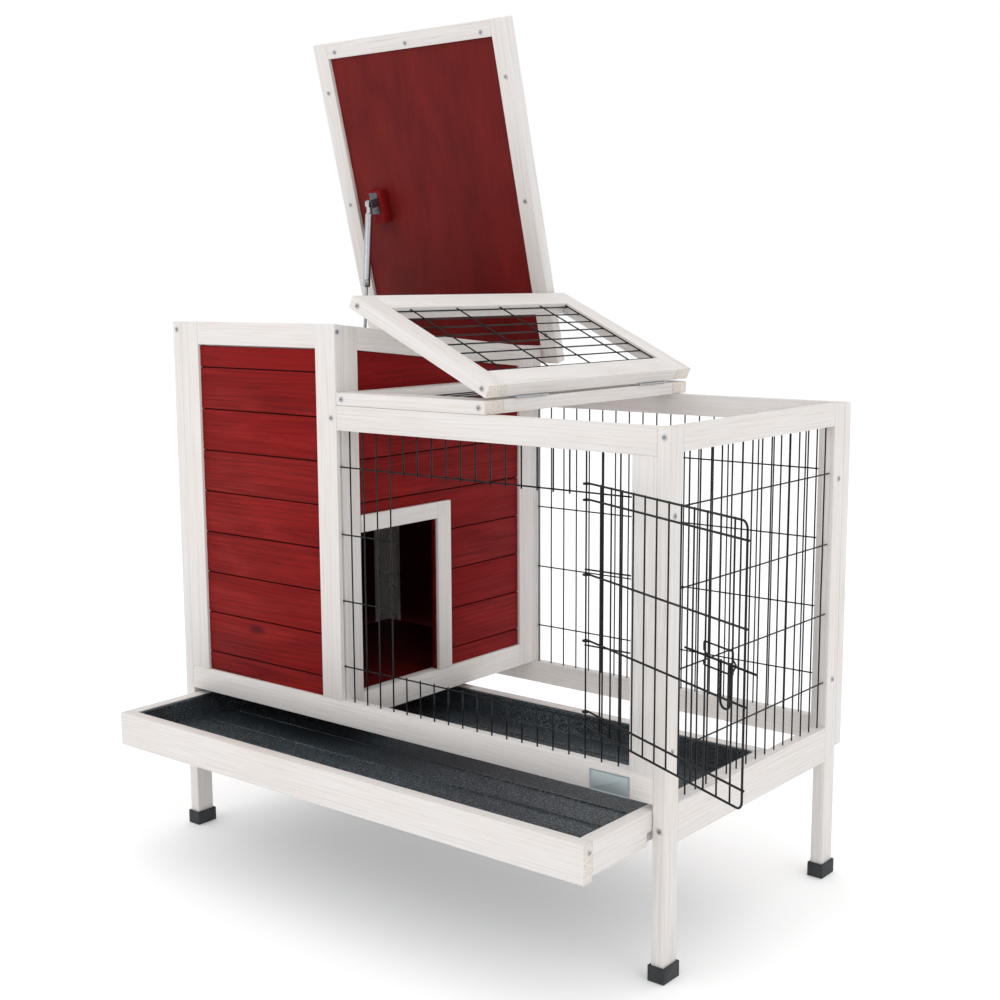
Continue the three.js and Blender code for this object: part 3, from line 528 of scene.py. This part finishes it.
# red cladding: boards with eased joints, each with its own grain; "seam" is 1 down in a joint and
# "inside" is 1 on the face towards the house, where the red wood paints the house's dark inside as painted shade

boardLook = {"edge": 0.6 * mm, "lowest": 293.5 * mm, "pitch": 63.2 * mm, "groove": 2.4 * mm, "back": 6 * mm}


def markDepth(form, outward):
    outward = Vector(outward)
    face = max(v.co.dot(outward) for v in form.verts)
    seam = form.loops.layers.float.new("seam")
    inside = form.loops.layers.float.new("inside")
    for flat in form.faces:
        for loop in flat.loops:
            depth = face - loop.vert.co.dot(outward)
            loop[seam] = 1.0 if boardLook["groove"] < depth < boardLook["back"] else 0.0
            # faces deeper than the boards' back get painted shade in the red wood
            loop[inside] = 1.0 if depth > boardLook["back"] else 0.0


def boardNumber(centre):
    return int((centre.z - boardLook["lowest"]) // boardLook["pitch"]) + 2


cladding = {"front_boards": ((1, 0, 0), (0, -1, 0)), "back_boards": ((1, 0, 0), (0, 1, 0)),
            "left_boards": ((0, 1, 0), (-1, 0, 0)), "divider_boards": ((0, 1, 0), (1, 0, 0))}
for seed, (node, (along, outward)) in enumerate(cladding.items()):
    boards = copyOf(node)
    softenEdges(boards, boardLook["edge"], 2)
    addGrain(boards, along, 300 + seed, boardNumber)
    markDepth(boards, outward)
    piece(node + "_wood", boards, "red_wood", "hutch", stands=[node], smooth=smoothUnder["wood"])
roofwards = roofFrame.to_3x3() @ Vector((0, 1, 0))
sheets = {"house_floor": (0.5 * mm, 1, (1, 0, 0), 330), "roof_panel": (0.5 * mm, 1, roofwards, 320),
          "strut_block": (1.0 * mm, 2, roofwards, 321)}
for node, (edge, segments, along, seed) in sheets.items():
    sheet = copyOf(node)
    softenEdges(sheet, edge, segments)
    addGrain(sheet, along, seed)
    piece(node + "_wood", sheet, slotOf[node], bodyOf[node], stands=[node], smooth=smoothUnder["wood"])
print("red boards dressed")


# round wires along lists of points

def bent(points, radius, steps=5):
    corners = [Vector(point) for point in points]
    path = [corners[0]]
    for before, corner, after in zip(corners, corners[1:], corners[2:]):
        into, out = (before - corner).normalized(), (after - corner).normalized()
        half = into.angle(out) / 2
        back = min(radius / math.tan(half), (before - corner).length / 2, (after - corner).length / 2)
        size = back * math.tan(half)
        centre = corner + (into + out).normalized() * math.hypot(back, size)
        first = (corner + into * back - centre).normalized()
        last = (corner + out * back - centre).normalized()
        for step in range(steps + 1):
            path.append(centre + first.slerp(last, step / steps) * size)
    return path + [corners[-1]]


def sweep(form, path, radius, segments=8):
    rings, side = [], None
    for number, spot in enumerate(path):
        ahead = path[min(number + 1, len(path) - 1)] - path[max(number - 1, 0)]
        ahead.normalize()
        if side is None:
            side = ahead.orthogonal()
        side = (side - ahead * side.dot(ahead)).normalized()
        other = ahead.cross(side)
        rings.append([form.verts.new(spot + (side * math.cos(turn) + other * math.sin(turn)) * radius)
                      for turn in (math.tau * i / segments for i in range(segments))])
    for first, second in zip(rings, rings[1:]):
        for i in range(segments):
            j = (i + 1) % segments
            form.faces.new((first[i], first[j], second[j], second[i]))
    for ring, order in ((rings[0], -1), (rings[-1], 1)):
        form.faces.new(ring[::order])


# a long wire with the slight waver that drawn wire keeps
def longWire(form, start, end, radius, dice):
    start, end = Vector(start), Vector(end)
    along = end - start
    side = along.orthogonal().normalized()
    other = along.normalized().cross(side)
    count = max(2, int(along.length / wireShape["step"]) + 1)
    path = []
    for i in range(count + 1):
        share = i / count
        loose = wireShape["waver"] * math.sin(math.pi * share) if along.length > 150 * mm else 0
        drift = side * dice.uniform(-loose, loose) + other * dice.uniform(-loose, loose)
        path.append(start + along * share + drift * (0 < i < count))
    sweep(form, path, radius)


wirePitch = 25.4
wireShape = {"radius": 1.1 * mm, "pitch": wirePitch * mm, "weld": 0.2 * mm, "door": 1.4 * mm,
             "waver": 0.15 * mm, "step": 70 * mm}
rest = Vector((9, 15, 0)) * mm              # from the frame's front left corner to the origin


def spotAt(x, y, z):
    return Vector((x, y, z)) * mm - rest


def weldBead(form, centre, size):
    made = bmesh.ops.create_icosphere(form, subdivisions=1, radius=size)["verts"]
    bmesh.ops.translate(form, verts=made, vec=centre)


# front mesh: close uprights in front of long bars, with the door's square left out
frontWires = {"start": 369.4, "count": 19, "first": 3, "last": 16, "y": 6.5, "barY": 8.5,
              "bars": (314, 410.5, 507, 603.5), "over": 3.5, "barOver": 3, "catches": (445.5, 462.5),
              "catchReach": 8, "catchBend": 3}


def uprightX(i):
    return frontWires["start"] + i * wirePitch


def frontMesh():
    s = frontWires
    form, dice = bmesh.new(), random.Random(11)
    low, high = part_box("front_mesh")
    low, high = low + rest, high + rest
    radius = wireShape["radius"]
    for i in range(s["count"]):
        x = uprightX(i)
        spans = [(low.z / mm, high.z / mm)]
        if s["first"] < i < s["last"]:
            spans = [(low.z / mm, s["bars"][0] + s["over"]), (s["bars"][-1] - s["over"], high.z / mm)]
        for z0, z1 in spans:
            longWire(form, spotAt(x, s["y"], z0), spotAt(x, s["y"], z1), radius, dice)
    for z in s["bars"]:
        whole = z in (s["bars"][0], s["bars"][-1])
        spans = [(low.x / mm, high.x / mm)] if whole else [
            (low.x / mm, uprightX(s["first"]) + s["barOver"]),
            (uprightX(s["last"]) - s["barOver"], high.x / mm)]
        for x0, x1 in spans:
            longWire(form, spotAt(x0, s["barY"], z), spotAt(x1, s["barY"], z), radius, dice)
    for z in s["catches"]:
        end, bend = uprightX(s["first"]) + s["catchReach"], s["catchBend"]
        path = bent([spotAt(uprightX(s["first"] - 1) - s["barOver"], s["barY"], z),
                     spotAt(end - bend, s["barY"], z), spotAt(end, s["barY"] - bend, z)], bend * mm)
        sweep(form, path, radius)
    return form


piece("front_mesh_wire", frontMesh(), "black_wire", "hutch", stands=["front_mesh"],
      smooth=smoothUnder["wire"])


panelBars = (292, 392.5, 493, 593.5)


def panelMesh(node, start, axis, seed):
    form, dice = bmesh.new(), random.Random(seed)
    low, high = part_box(node)
    radius, gap = wireShape["radius"], 2 * wireShape["radius"] - wireShape["weld"]
    face = low[1 - axis] + radius
    place = start
    while place < high[axis] - radius:
        if place > low[axis]:
            ends = [Vector((0, 0, low.z)), Vector((0, 0, high.z))]
            for end in ends:
                end[axis], end[1 - axis] = place, face
            longWire(form, *ends, radius, dice)
        place += wireShape["pitch"]
    for height in panelBars:
        ends = [Vector((0, 0, height * mm)), Vector((0, 0, height * mm))]
        for end, limit in zip(ends, (low[axis], high[axis])):
            end[axis], end[1 - axis] = limit, face + gap
        longWire(form, *ends, radius, dice)
    return form


piece("back_mesh_wire", panelMesh("back_mesh", 353.5 * mm - rest.x, 0, 21), "black_wire", "hutch",
      stands=["back_mesh"], smooth=smoothUnder["wire"])
piece("right_mesh_wire", panelMesh("right_mesh", 33.4 * mm - rest.y, 1, 22), "black_wire", "hutch",
      stands=["right_mesh"], smooth=smoothUnder["wire"])

lidWires = {"long": (80, 179.5, 279, 378.5, 444), "start": 49, "count": 8, "rise": 3.5 * mm, "gap": 0.3 * mm}


def lidMesh(low, high, towards, seed):
    form, dice = bmesh.new(), random.Random(seed)
    bar, radius = timberLook["stile"] + lidWires["gap"], wireShape["radius"]
    gap = 2 * radius - wireShape["weld"]
    z = low.z + lidWires["rise"]
    ends = (low.x + bar, high.x - bar)
    for y in lidWires["long"]:
        y = y * mm - rest.y
        longWire(form, (ends[0], y, z), (ends[1], y, z), radius, dice)
    for i in range(lidWires["count"]):
        step = (lidWires["start"] + i * wirePitch) * mm
        x = lidHinge.x + towards * step - (lidWires["gap"] if towards < 0 else 0)
        longWire(form, (x, low.y + bar, z + gap), (x, high.y - bar, z + gap), radius, dice)
    return form


piece("fixed_lid_wire", lidMesh(fixedLow, fixedHigh, -1, 31), "black_wire", "hutch",
      stands=["fixed_lid_mesh"], smooth=smoothUnder["wire"])
piece("folding_lid_wire", lidMesh(foldingLow, foldingHigh, 1, 32), "black_wire", "folding_lid", lidFrame,
      ["folding_lid_mesh"], smoothUnder["wire"])
print("wire panels made")


# the wire door, in its own frame: X from the hinge, Y out of the closed door's face

doorShape = {"width": 13 * wirePitch, "uprights": 12, "bars": (303, 325, 416.7, 500.8, 594.7, 614.8),
             "corner": 9, "barY": 3.4, "uprightY": 5.7, "over": 3, "bead": 2.0}
guideShape = {"ends": (443.5, 470), "y": 7.7, "sides": (248.5, 303.2), "stapleY": 12.0, "stapleHalf": 6.5}
boltShape = {"height": 454, "start": 210, "over": 13.8, "y": 8.6, "handleY": 11.2, "legs": (276, 294),
             "drop": 52, "bend": 8}


def doorSpot(x, y, z):
    return Vector((x, y, z)) * mm


# one side of the bolt's guide, from top to bottom, with the staple that holds the bolt
def guideSide(x):
    g, height = guideShape, boltShape["height"]
    return [doorSpot(x, g["y"], g["ends"][1]), doorSpot(x, g["y"], height + g["stapleHalf"]),
            doorSpot(x, g["stapleY"], height), doorSpot(x, g["y"], height - g["stapleHalf"]),
            doorSpot(x, g["y"], g["ends"][0])]


def wireDoor():
    s = doorShape
    form, dice = bmesh.new(), random.Random(41)
    thick, thin = wireShape["door"], wireShape["radius"]
    low, high = s["bars"][0], s["bars"][-1]
    rim = bent([doorSpot(0, s["barY"], low), doorSpot(s["width"], s["barY"], low),
                doorSpot(s["width"], s["barY"], high), doorSpot(0, s["barY"], high)], s["corner"] * mm)
    sweep(form, rim, thick)
    for z in s["bars"][1:-1]:
        longWire(form, doorSpot(0, s["barY"], z), doorSpot(s["width"] + s["over"], s["barY"], z), thick, dice)
        weldBead(form, doorSpot(s["width"], s["barY"] + 0.3, z), s["bead"] * mm)
    for z in s["bars"]:
        eye = [doorSpot(s["barY"] * math.sin(a), s["barY"] * math.cos(a), z)
               for a in (math.radians(-12 - 30 * i) for i in range(11))]
        sweep(form, [doorSpot(0.2, s["barY"], z)] + eye, thick)
    for k in range(1, s["uprights"] + 1):
        x = k * wirePitch
        longWire(form, doorSpot(x, s["uprightY"], low - 1), doorSpot(x, s["uprightY"], high + 1), thin, dice)
    left, right = guideShape["sides"]
    middleTop = doorSpot((left + right) / 2, guideShape["y"], guideShape["ends"][1])
    guide = [middleTop] + guideSide(left) + guideSide(right)[::-1] + [middleTop]
    sweep(form, bent(guide, 2 * mm), thin)
    return form


piece("wire_door_wire", wireDoor(), "black_wire", "door", doorFrame, ["wire_door"], smoothUnder["wire"])


def doorBolt():
    s = boltShape
    form = bmesh.new()
    radius, height, bottom = wireShape["door"], s["height"], s["height"] - s["drop"]
    shaft = [doorSpot(s["start"], s["y"], height), doorSpot(doorShape["width"] + s["over"], s["y"], height)]
    sweep(form, shaft, radius, 10)
    left, right = s["legs"]
    pull = [doorSpot(x, s["handleY"], z)
            for x, z in ((left, height + 1), (left, bottom), (right, bottom), (right, height + 1))]
    sweep(form, bent(pull, s["bend"] * mm), radius, 10)
    return form


piece("door_bolt_wire", doorBolt(), "black_wire", "bolt", doorFrame, ["door_bolt"], smoothUnder["wire"])
print("door and bolt made")


# screws: a domed head with a cross cut into it

screwShape = {"head": 3.7 * mm, "rise": 1.0 * mm, "segments": 20, "sunk": 0.1 * mm, "slot": 2.0 * mm,
              "slotWide": 0.8 * mm, "slotDeep": 0.12 * mm, "slotAt": 0.92}
domeRings = ((0.12, 0.45), (0.16, 0.3), (0.2, 0.17))      # inward and up, as shares of the head and its rise


def screw(form, spot, normal, twist=0.0, size=1.0):
    s = screwShape
    normal = Vector(normal).normalized()
    turn = Vector((0, 0, 1)).rotation_difference(normal).to_matrix().to_4x4()
    place = Matrix.Translation(Vector(spot)) @ turn @ Matrix.Rotation(twist, 4, "Z") @ Matrix.Scale(size, 4)
    head, rise = s["head"], s["rise"]
    paintedSlotShade = form.loops.layers.float.get("paintedSlotShade") or form.loops.layers.float.new("paintedSlotShade")
    made = bmesh.ops.create_circle(form, cap_ends=True, radius=head, segments=s["segments"])["verts"]
    face = made[0].link_faces[0]
    for inward, up in domeRings:
        bmesh.ops.inset_region(form, faces=[face], thickness=head * inward, depth=rise * up)
    found = linked(made)
    bmesh.ops.translate(form, verts=found, vec=(0, 0, -s["sunk"]))
    top = rise * s["slotAt"] - s["sunk"]
    for quarter in (0, math.pi / 2):
        bar = bmesh.ops.create_cube(form, size=1.0)["verts"]
        bmesh.ops.scale(form, verts=bar, vec=(2 * s["slot"], s["slotWide"], s["slotDeep"]))
        bmesh.ops.rotate(form, verts=bar, cent=(0, 0, 0), matrix=Matrix.Rotation(quarter, 3, "Z"))
        bmesh.ops.translate(form, verts=bar, vec=(0, 0, top))
        # marks the slot faces, which the zinc finish paints dark as painted shade
        for loop in (loop for v in bar for loop in v.link_loops):
            loop[paintedSlotShade] = 1.0
        found += bar
    bmesh.ops.transform(form, verts=found, matrix=place)


def screws(name, body, spots, size=1.0):
    form, dice = bmesh.new(), random.Random(len(name) * 7)
    for spot, normal in spots:
        screw(form, spot, normal, dice.uniform(0, 1.5), size)
    piece(name, form, "zinc", body, smooth=smoothUnder["metal"])


front, left, right = (0, -1, 0), (-1, 0, 0), (1, 0, 0)
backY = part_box("back_frame")[1].y
screws("front_screws", "hutch", [
    (spotAt(x, 0, z), front) for x, z in ((9.4, 791.8), (892, 679.2), (892, 195.9), (9.4, 196), (340, 673))])
screws("side_screws", "hutch", [
    (spotAt(x, y, z), side) for x, side in ((900, right), (0, left))
    for y, z in ((13, 585), (14, 295), (440, 585), (440, 295))] + [(spotAt(350, 5, 793), right)])
screws("back_screws", "hutch", [
    (Vector((x * mm - rest.x, backY, z * mm)), (0, 1, 0))
    for x, z in ((9, 215), (9, 480), (9, 735), (330, 215), (330, 700), (891, 215), (891, 440), (891, 672))])
screws("fixed_lid_screws", "hutch", [
    (spotAt(x, y, 700), (0, side, 0)) for x in (360.6, 609.5) for y, side in ((0, -1), (486, 1))])
drawerLow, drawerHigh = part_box("drawer_front")
screws("drawer_screws", "drawer", [
    (Vector((x, drawerLow.y + 12 * mm, 207 * mm)), side)
    for x, side in ((drawerLow.x, left), (drawerHigh.x, right))], 0.8)
lidTurn = lidFrame.to_3x3()
screws("folding_lid_screws", "folding_lid", [
    (lidFrame @ Vector((x, y, foldingLow.z + 9 * mm)), lidTurn @ Vector((0, side, 0)))
    for x in (foldingLow.x + 10 * mm, foldingHigh.x - 14 * mm)
    for y, side in ((foldingLow.y, -1), (foldingHigh.y, 1))])
roofUnder = 1.2 * mm                        # the underside of its frame, from the hinge
roofTurn = roofFrame.to_3x3()
roofScrews = ((12.5, 500), (171, 498.5), (328, 498.5), (-19.3, 436), (-19.3, 247), (363, 429), (363, 238),
              (363, 20), (-19.3, 20))
screws("roof_screws", "roof", [
    (roofFrame @ Vector((x * mm - rest.x, -along * mm, roofUnder)), roofTurn @ Vector((0, 0, -1)))
    for x, along in roofScrews])
print("screws set")


# butt hinges: two leaves with countersunk screws, and a knuckle shared between them

hingeShape = {"thick": 1.0 * mm, "corner": 1.6 * mm, "knuckles": 5, "reach": 15 * mm, "edge": 0.15 * mm,
              "play": 0.2 * mm, "pinOver": 0.4 * mm, "screwSize": 0.62}
lidHingeLook = {"radius": 1.8 * mm, "drop": lidHinge.z - fixedHigh.z - 0.1 * mm,
                "screws": (-24 * mm, 0, 24 * mm)}
roofHingeLook = {"radius": 1.0 * mm, "drop": 1.1 * mm, "screws": (-12 * mm, 12 * mm)}
screwFromPin = 9 * mm


def hingeHalf(length, look, side, place, name, body, stands=()):
    s = hingeShape
    reach, drop, radius = s["reach"], look["drop"], look["radius"]
    form = bmesh.new()
    low = (min(0, side * reach), -length / 2, -drop)
    high = (max(0, side * reach), length / 2, -drop + s["thick"])
    leaf = bmesh.new()
    block(leaf, low, high)
    outer = [edge for edge in leaf.edges
             if all(abs(v.co.x - side * reach) < 1e-6 for v in edge.verts)
             and abs(edge.verts[0].co.z - edge.verts[1].co.z) > 1e-6]
    bmesh.ops.bevel(leaf, geom=outer, offset=s["corner"], offset_type="OFFSET", affect="EDGES", segments=4,
                    profile=0.5, material=-1)
    softenEdges(leaf, s["edge"], 1, 60)
    addForm(form, leaf)
    step = length / s["knuckles"]
    for i in range(s["knuckles"]):
        if (i % 2 == 0) == (side < 0):
            start = -length / 2 + i * step
            barrel(form, (0, start + s["play"], 0), (0, start + step - s["play"], 0), radius, 20)
    if side < 0:
        pinEnd = length / 2 + s["pinOver"]
        barrel(form, (0, -pinEnd, 0), (0, pinEnd, 0), radius * 0.5, 12)
    for y in look["screws"]:
        screw(form, (side * screwFromPin, y, -drop + s["thick"]), (0, 0, 1), y * 900, s["screwSize"])
    piece(name, form, "zinc", body, place, stands, smoothUnder["metal"])


for name in ("lid_hinge_front", "lid_hinge_rear"):
    low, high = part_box(name)
    length, middle = high.y - low.y, (high.y + low.y) / 2
    pin = Matrix.Translation((lidHinge.x, middle, lidHinge.z))
    hingeHalf(length, lidHingeLook, -1, pin, name + "_leaf", "hutch", [name])
    hingeHalf(length, lidHingeLook, 1, lidFrame @ pin, name + "_moving_leaf", "folding_lid")
roofPin = Vector(joints["roof_hinge"]["pos_m"])
houseSlope = math.atan(0.1057)              # the house's top falls this much towards the front
quarterTurn = Matrix.Rotation(math.pi / 2, 4, "Z")
for name in ("roof_hinge_left", "roof_hinge_right"):
    low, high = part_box(name)
    length, middle = high.x - low.x, (high.x + low.x) / 2
    lie = Matrix.Translation((middle, roofPin.y, roofPin.z)) @ Matrix.Rotation(-houseSlope, 4, "X")
    hingeHalf(length, roofHingeLook, -1, lie @ quarterTurn, name + "_leaf", "hutch", [name])
    under = roofFrame @ Matrix.Translation((middle, 0, 0)) @ Matrix.Rotation(math.pi, 4, "Y")
    hingeHalf(length, roofHingeLook, 1, under @ quarterTurn, name + "_moving_leaf", "roof")
print("hinges made")


# gas strut: head with an eye, cylinder with a turned ring, rod with an eye

strutShape = {"head": 17, "body": 139.6, "length": 246, "cylinder": 6.25, "rod": 2.75, "bore": 3.6,
              "deep": 112, "inside": 11.5, "toEye": 4, "collar": 1.2}
headEye = [(3.3, -4.5), (6.3, -4.5), (7, -3.9), (7, 3.9), (6.3, 4.5), (3.3, 4.5), (3.3, -4.5)]
rodEye = [(2.6, -3.5), (4.6, -3.5), (5, -3.1), (5, 3.1), (4.6, 3.5), (2.6, 3.5), (2.6, -3.5)]
acrossStrut = Matrix.Rotation(math.pi / 2, 4, "Y")


def inMetres(profile):
    return [(radius * mm, height * mm) for radius, height in profile]


def strutCylinder():
    s = strutShape
    form = bmesh.new()
    top, low, r, bore = -s["head"], -s["body"], s["cylinder"], s["bore"]
    turned(form, inMetres([
        (0, -4), (4.4, -5), (4.4, top + 3), (r - 1, top + 1), (r, top), (r, low + 13), (r + 0.25, low + 12.5),
        (r - 0.6, low + 11.6), (r - 0.6, low + 10.8), (r + 0.1, low + 10), (r, low + 2), (r - 1, low + 0.3),
        (bore, low), (bore, low + s["deep"]), (0, low + s["deep"] + 0.5)]))
    turned(form, inMetres(headEye), 28, acrossStrut)
    return form


def strutRod():
    s = strutShape
    form = bmesh.new()
    top, bottom, r = s["inside"] - s["body"], s["toEye"] - s["length"], s["rod"]
    collar = r + s["collar"]
    turned(form, inMetres([
        (0, top), (r, top - 0.3), (r, bottom + 3.6), (collar, bottom + 2.8), (collar, bottom), (0, bottom)]))
    turned(form, inMetres(rodEye), 24, Matrix.Translation((0, 0, -s["length"] * mm)) @ acrossStrut)
    return form


for body, form in (("strut_cylinder", strutCylinder()), ("strut_rod", strutRod())):
    piece(body + "_steel", form, "zinc", body, strutFrame, [body], smoothUnder["metal"])
for node in ("strut_bracket", "strut_anchor"):
    plate = copyOf(node)
    softenEdges(plate, 0.3 * mm, 2, 50)
    piece(node + "_steel", plate, "strut_steel", bodyOf[node], stands=[node], smooth=smoothUnder["metal"])
print("strut made")


# drawer tray: sloped walls, a rolled rim and long ribs in the floor

trayShape = {"wall": 2 * mm, "draft": 4 * mm, "corner": 9 * mm, "rim": 3 * mm, "rimDrop": 1.2 * mm,
             "rimStep": 0.8 * mm, "bend": 5 * mm}
ribShape = {"count": 6, "wide": 5 * mm, "high": 1.6 * mm, "sunk": 0.5 * mm, "fromEnd": 30 * mm,
            "edge": 1.4 * mm}


def drawerTray():
    s = trayShape
    form = bmesh.new()
    low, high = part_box("tray")
    middle = (low + high) / 2
    block(form, low, high)
    for v in [v for v in form.verts if v.co.z < middle.z]:
        v.co.x += s["draft"] * (1 if v.co.x < middle.x else -1)
        v.co.y += s["draft"] * (1 if v.co.y < middle.y else -1)
    upright = [edge for edge in form.edges if abs(edge.verts[0].co.z - edge.verts[1].co.z) > 10 * mm]
    bmesh.ops.bevel(form, geom=upright, offset=s["corner"], offset_type="OFFSET", affect="EDGES", segments=5,
                    profile=0.5, material=-1)
    top = max(form.faces, key=lambda face: face.calc_center_median().z)
    bmesh.ops.inset_region(form, faces=[top], thickness=s["rim"], depth=0)
    bmesh.ops.translate(form, verts=top.verts, vec=(0, 0, -s["rimDrop"]))
    bmesh.ops.inset_region(form, faces=[top], thickness=s["rimStep"], depth=0)
    depth = high.z - low.z - s["wall"] - s["rimDrop"]
    floor = bmesh.ops.extrude_discrete_faces(form, faces=[top])["faces"][0]
    bmesh.ops.translate(form, verts=floor.verts, vec=(0, 0, -depth))
    centre = floor.calc_center_median()
    for v in floor.verts:
        v.co.x -= s["draft"] * (1 if v.co.x > centre.x else -1)
        v.co.y -= s["draft"] * (1 if v.co.y > centre.y else -1)
    bmesh.ops.bevel(form, geom=list(floor.edges), offset=s["bend"], offset_type="OFFSET", affect="EDGES",
                    segments=4, profile=0.5, material=-1)
    for i in range(ribShape["count"]):
        addForm(form, trayRib(low, high, low.y + (high.y - low.y) * (i + 1) / (ribShape["count"] + 1)))
    return form


def trayRib(low, high, y):
    r = ribShape
    rib = bmesh.new()
    floor = low.z + trayShape["wall"]
    block(rib, (low.x + r["fromEnd"], y - r["wide"] / 2, floor - r["sunk"]),
          (high.x - r["fromEnd"], y + r["wide"] / 2, floor + r["high"]))
    ridge = [edge for edge in rib.edges if min(v.co.z for v in edge.verts) > floor]
    bmesh.ops.bevel(rib, geom=ridge, offset=r["edge"], offset_type="OFFSET", affect="EDGES", segments=4,
                    profile=0.5, material=-1)
    return rib


piece("tray_plastic", drawerTray(), "tray_plastic", "drawer", stands=["tray"], smooth=smoothUnder["tray"])

footEdge = 1.1 * mm
for node in ("front_left_foot", "rear_left_foot", "front_right_foot", "rear_right_foot"):
    foot = copyOf(node)
    softenEdges(foot, footEdge, 3)
    piece(node + "_rubber", foot, "rubber", "hutch", stands=[node], smooth=smoothUnder["wood"])


plateShape = {"border": 2.4 * mm, "corner": 2.4 * mm, "groove": 0.3 * mm, "deep": 0.2 * mm}


# the plate is blank, with a fine groove round it
def blankPlate():
    s = plateShape
    form = bmesh.new()
    low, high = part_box("blank_plate")
    block(form, low, high)
    face = min(form.faces, key=lambda f: f.calc_center_median().y)
    bmesh.ops.inset_region(form, faces=[face], thickness=s["border"], depth=0)
    bmesh.ops.bevel(form, geom=list(face.verts), offset=s["corner"], offset_type="OFFSET", affect="VERTICES",
                    segments=4, profile=0.5, material=-1)
    face = min(form.faces, key=lambda f: (round(f.calc_center_median().y, 5), -f.calc_area()))
    for depth in (-s["deep"], s["deep"]):
        bmesh.ops.inset_region(form, faces=[face], thickness=s["groove"], depth=depth)
    return form


piece("blank_plate_metal", blankPlate(), "plate_metal", "hutch", stands=["blank_plate"],
      smooth=smoothUnder["metal"])
print("tray, feet and plate made")


# studio: a flat pale floor, soft lights and the camera

studio = {"floor": colour(0.9, 0.9, 0.9), "half": 14, "under": 0.5 * mm, "glow": 0.2, "sky": 1.0,
          "flag": 748 * mm, "flagThick": 1 * mm}
middle = Vector((0.45, 0.2, 0.5))
lamps = {"keyLight": ((-0.6, -3.4, 3.0), 2.4, 22), "sideLight": ((4.2, -0.6, 2.2), 2.0, 8),
         "topLight": ((0.4, 0.6, 4.2), 3.0, 10)}      # place, size and power


def stageObject(name, form, material):
    mesh = bpy.data.meshes.new(name)
    form.to_mesh(mesh)
    form.free()
    made = bpy.data.objects.new(name, mesh)
    bpy.context.scene.collection.objects.link(made)
    mesh.materials.append(material)
    return made


def studioFloor():
    form = bmesh.new()
    bmesh.ops.create_grid(form, x_segments=1, y_segments=1, size=studio["half"])
    paint = Paint("studioFloor").finish(Base_Color=studio["floor"], Roughness=0.7, Specular_IOR_Level=0.0,
                                        Emission_Color=colour(1, 1, 1), Emission_Strength=studio["glow"])
    stageObject("studio_floor", form, paint).location = (0.44, 0.2, -studio["under"])


# a black card over the open house, unseen by the camera, keeps the inside as dark as under a roof
def studioFlag():
    low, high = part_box("house_floor")
    form = bmesh.new()
    block(form, (low.x, low.y, studio["flag"]), (high.x, high.y, studio["flag"] + studio["flagThick"]))
    paint = Paint("studioFlag").finish(Base_Color=colour(0, 0, 0), Roughness=1.0)
    stageObject("studio_flag", form, paint).visible_camera = False


studioFloor()
studioFlag()
for name, (spot, size, power) in lamps.items():
    lamp = bpy.data.lights.new(name, "AREA")
    lamp.size, lamp.energy = size, power
    made = bpy.data.objects.new(name, lamp)
    made.location = spot
    made.rotation_euler = (middle - Vector(spot)).to_track_quat("-Z", "Y").to_euler()
    bpy.context.scene.collection.objects.link(made)
sky = bpy.data.worlds.new("studioSky")
sky.use_nodes = True
sky.node_tree.nodes["Background"].inputs["Color"].default_value = (1, 1, 1, 1)
sky.node_tree.nodes["Background"].inputs["Strength"].default_value = studio["sky"]
bpy.context.scene.world = sky
bpy.context.scene.view_settings.view_transform = "Standard"

cameraSetting = {"spot": (1.8143, -1.4738, 0.8579), "yaw": 39.41, "down": 9.03, "roll": -0.33, "lens": 53.12,
                 "shift": (0.0118, 0.0183)}
lens = bpy.data.cameras.new("camera")
lens.lens, lens.sensor_width = cameraSetting["lens"], 36
lens.shift_x, lens.shift_y = cameraSetting["shift"]
camera = bpy.data.objects.new("camera", lens)
camera.matrix_world = (Matrix.Translation(cameraSetting["spot"])
                       @ Matrix.Rotation(math.radians(cameraSetting["yaw"]), 4, "Z")
                       @ Matrix.Rotation(math.radians(90 - cameraSetting["down"]), 4, "X")
                       @ Matrix.Rotation(math.radians(cameraSetting["roll"]), 4, "Z"))
bpy.context.scene.collection.objects.link(camera)
bpy.context.scene.camera = camera
print("studio set")
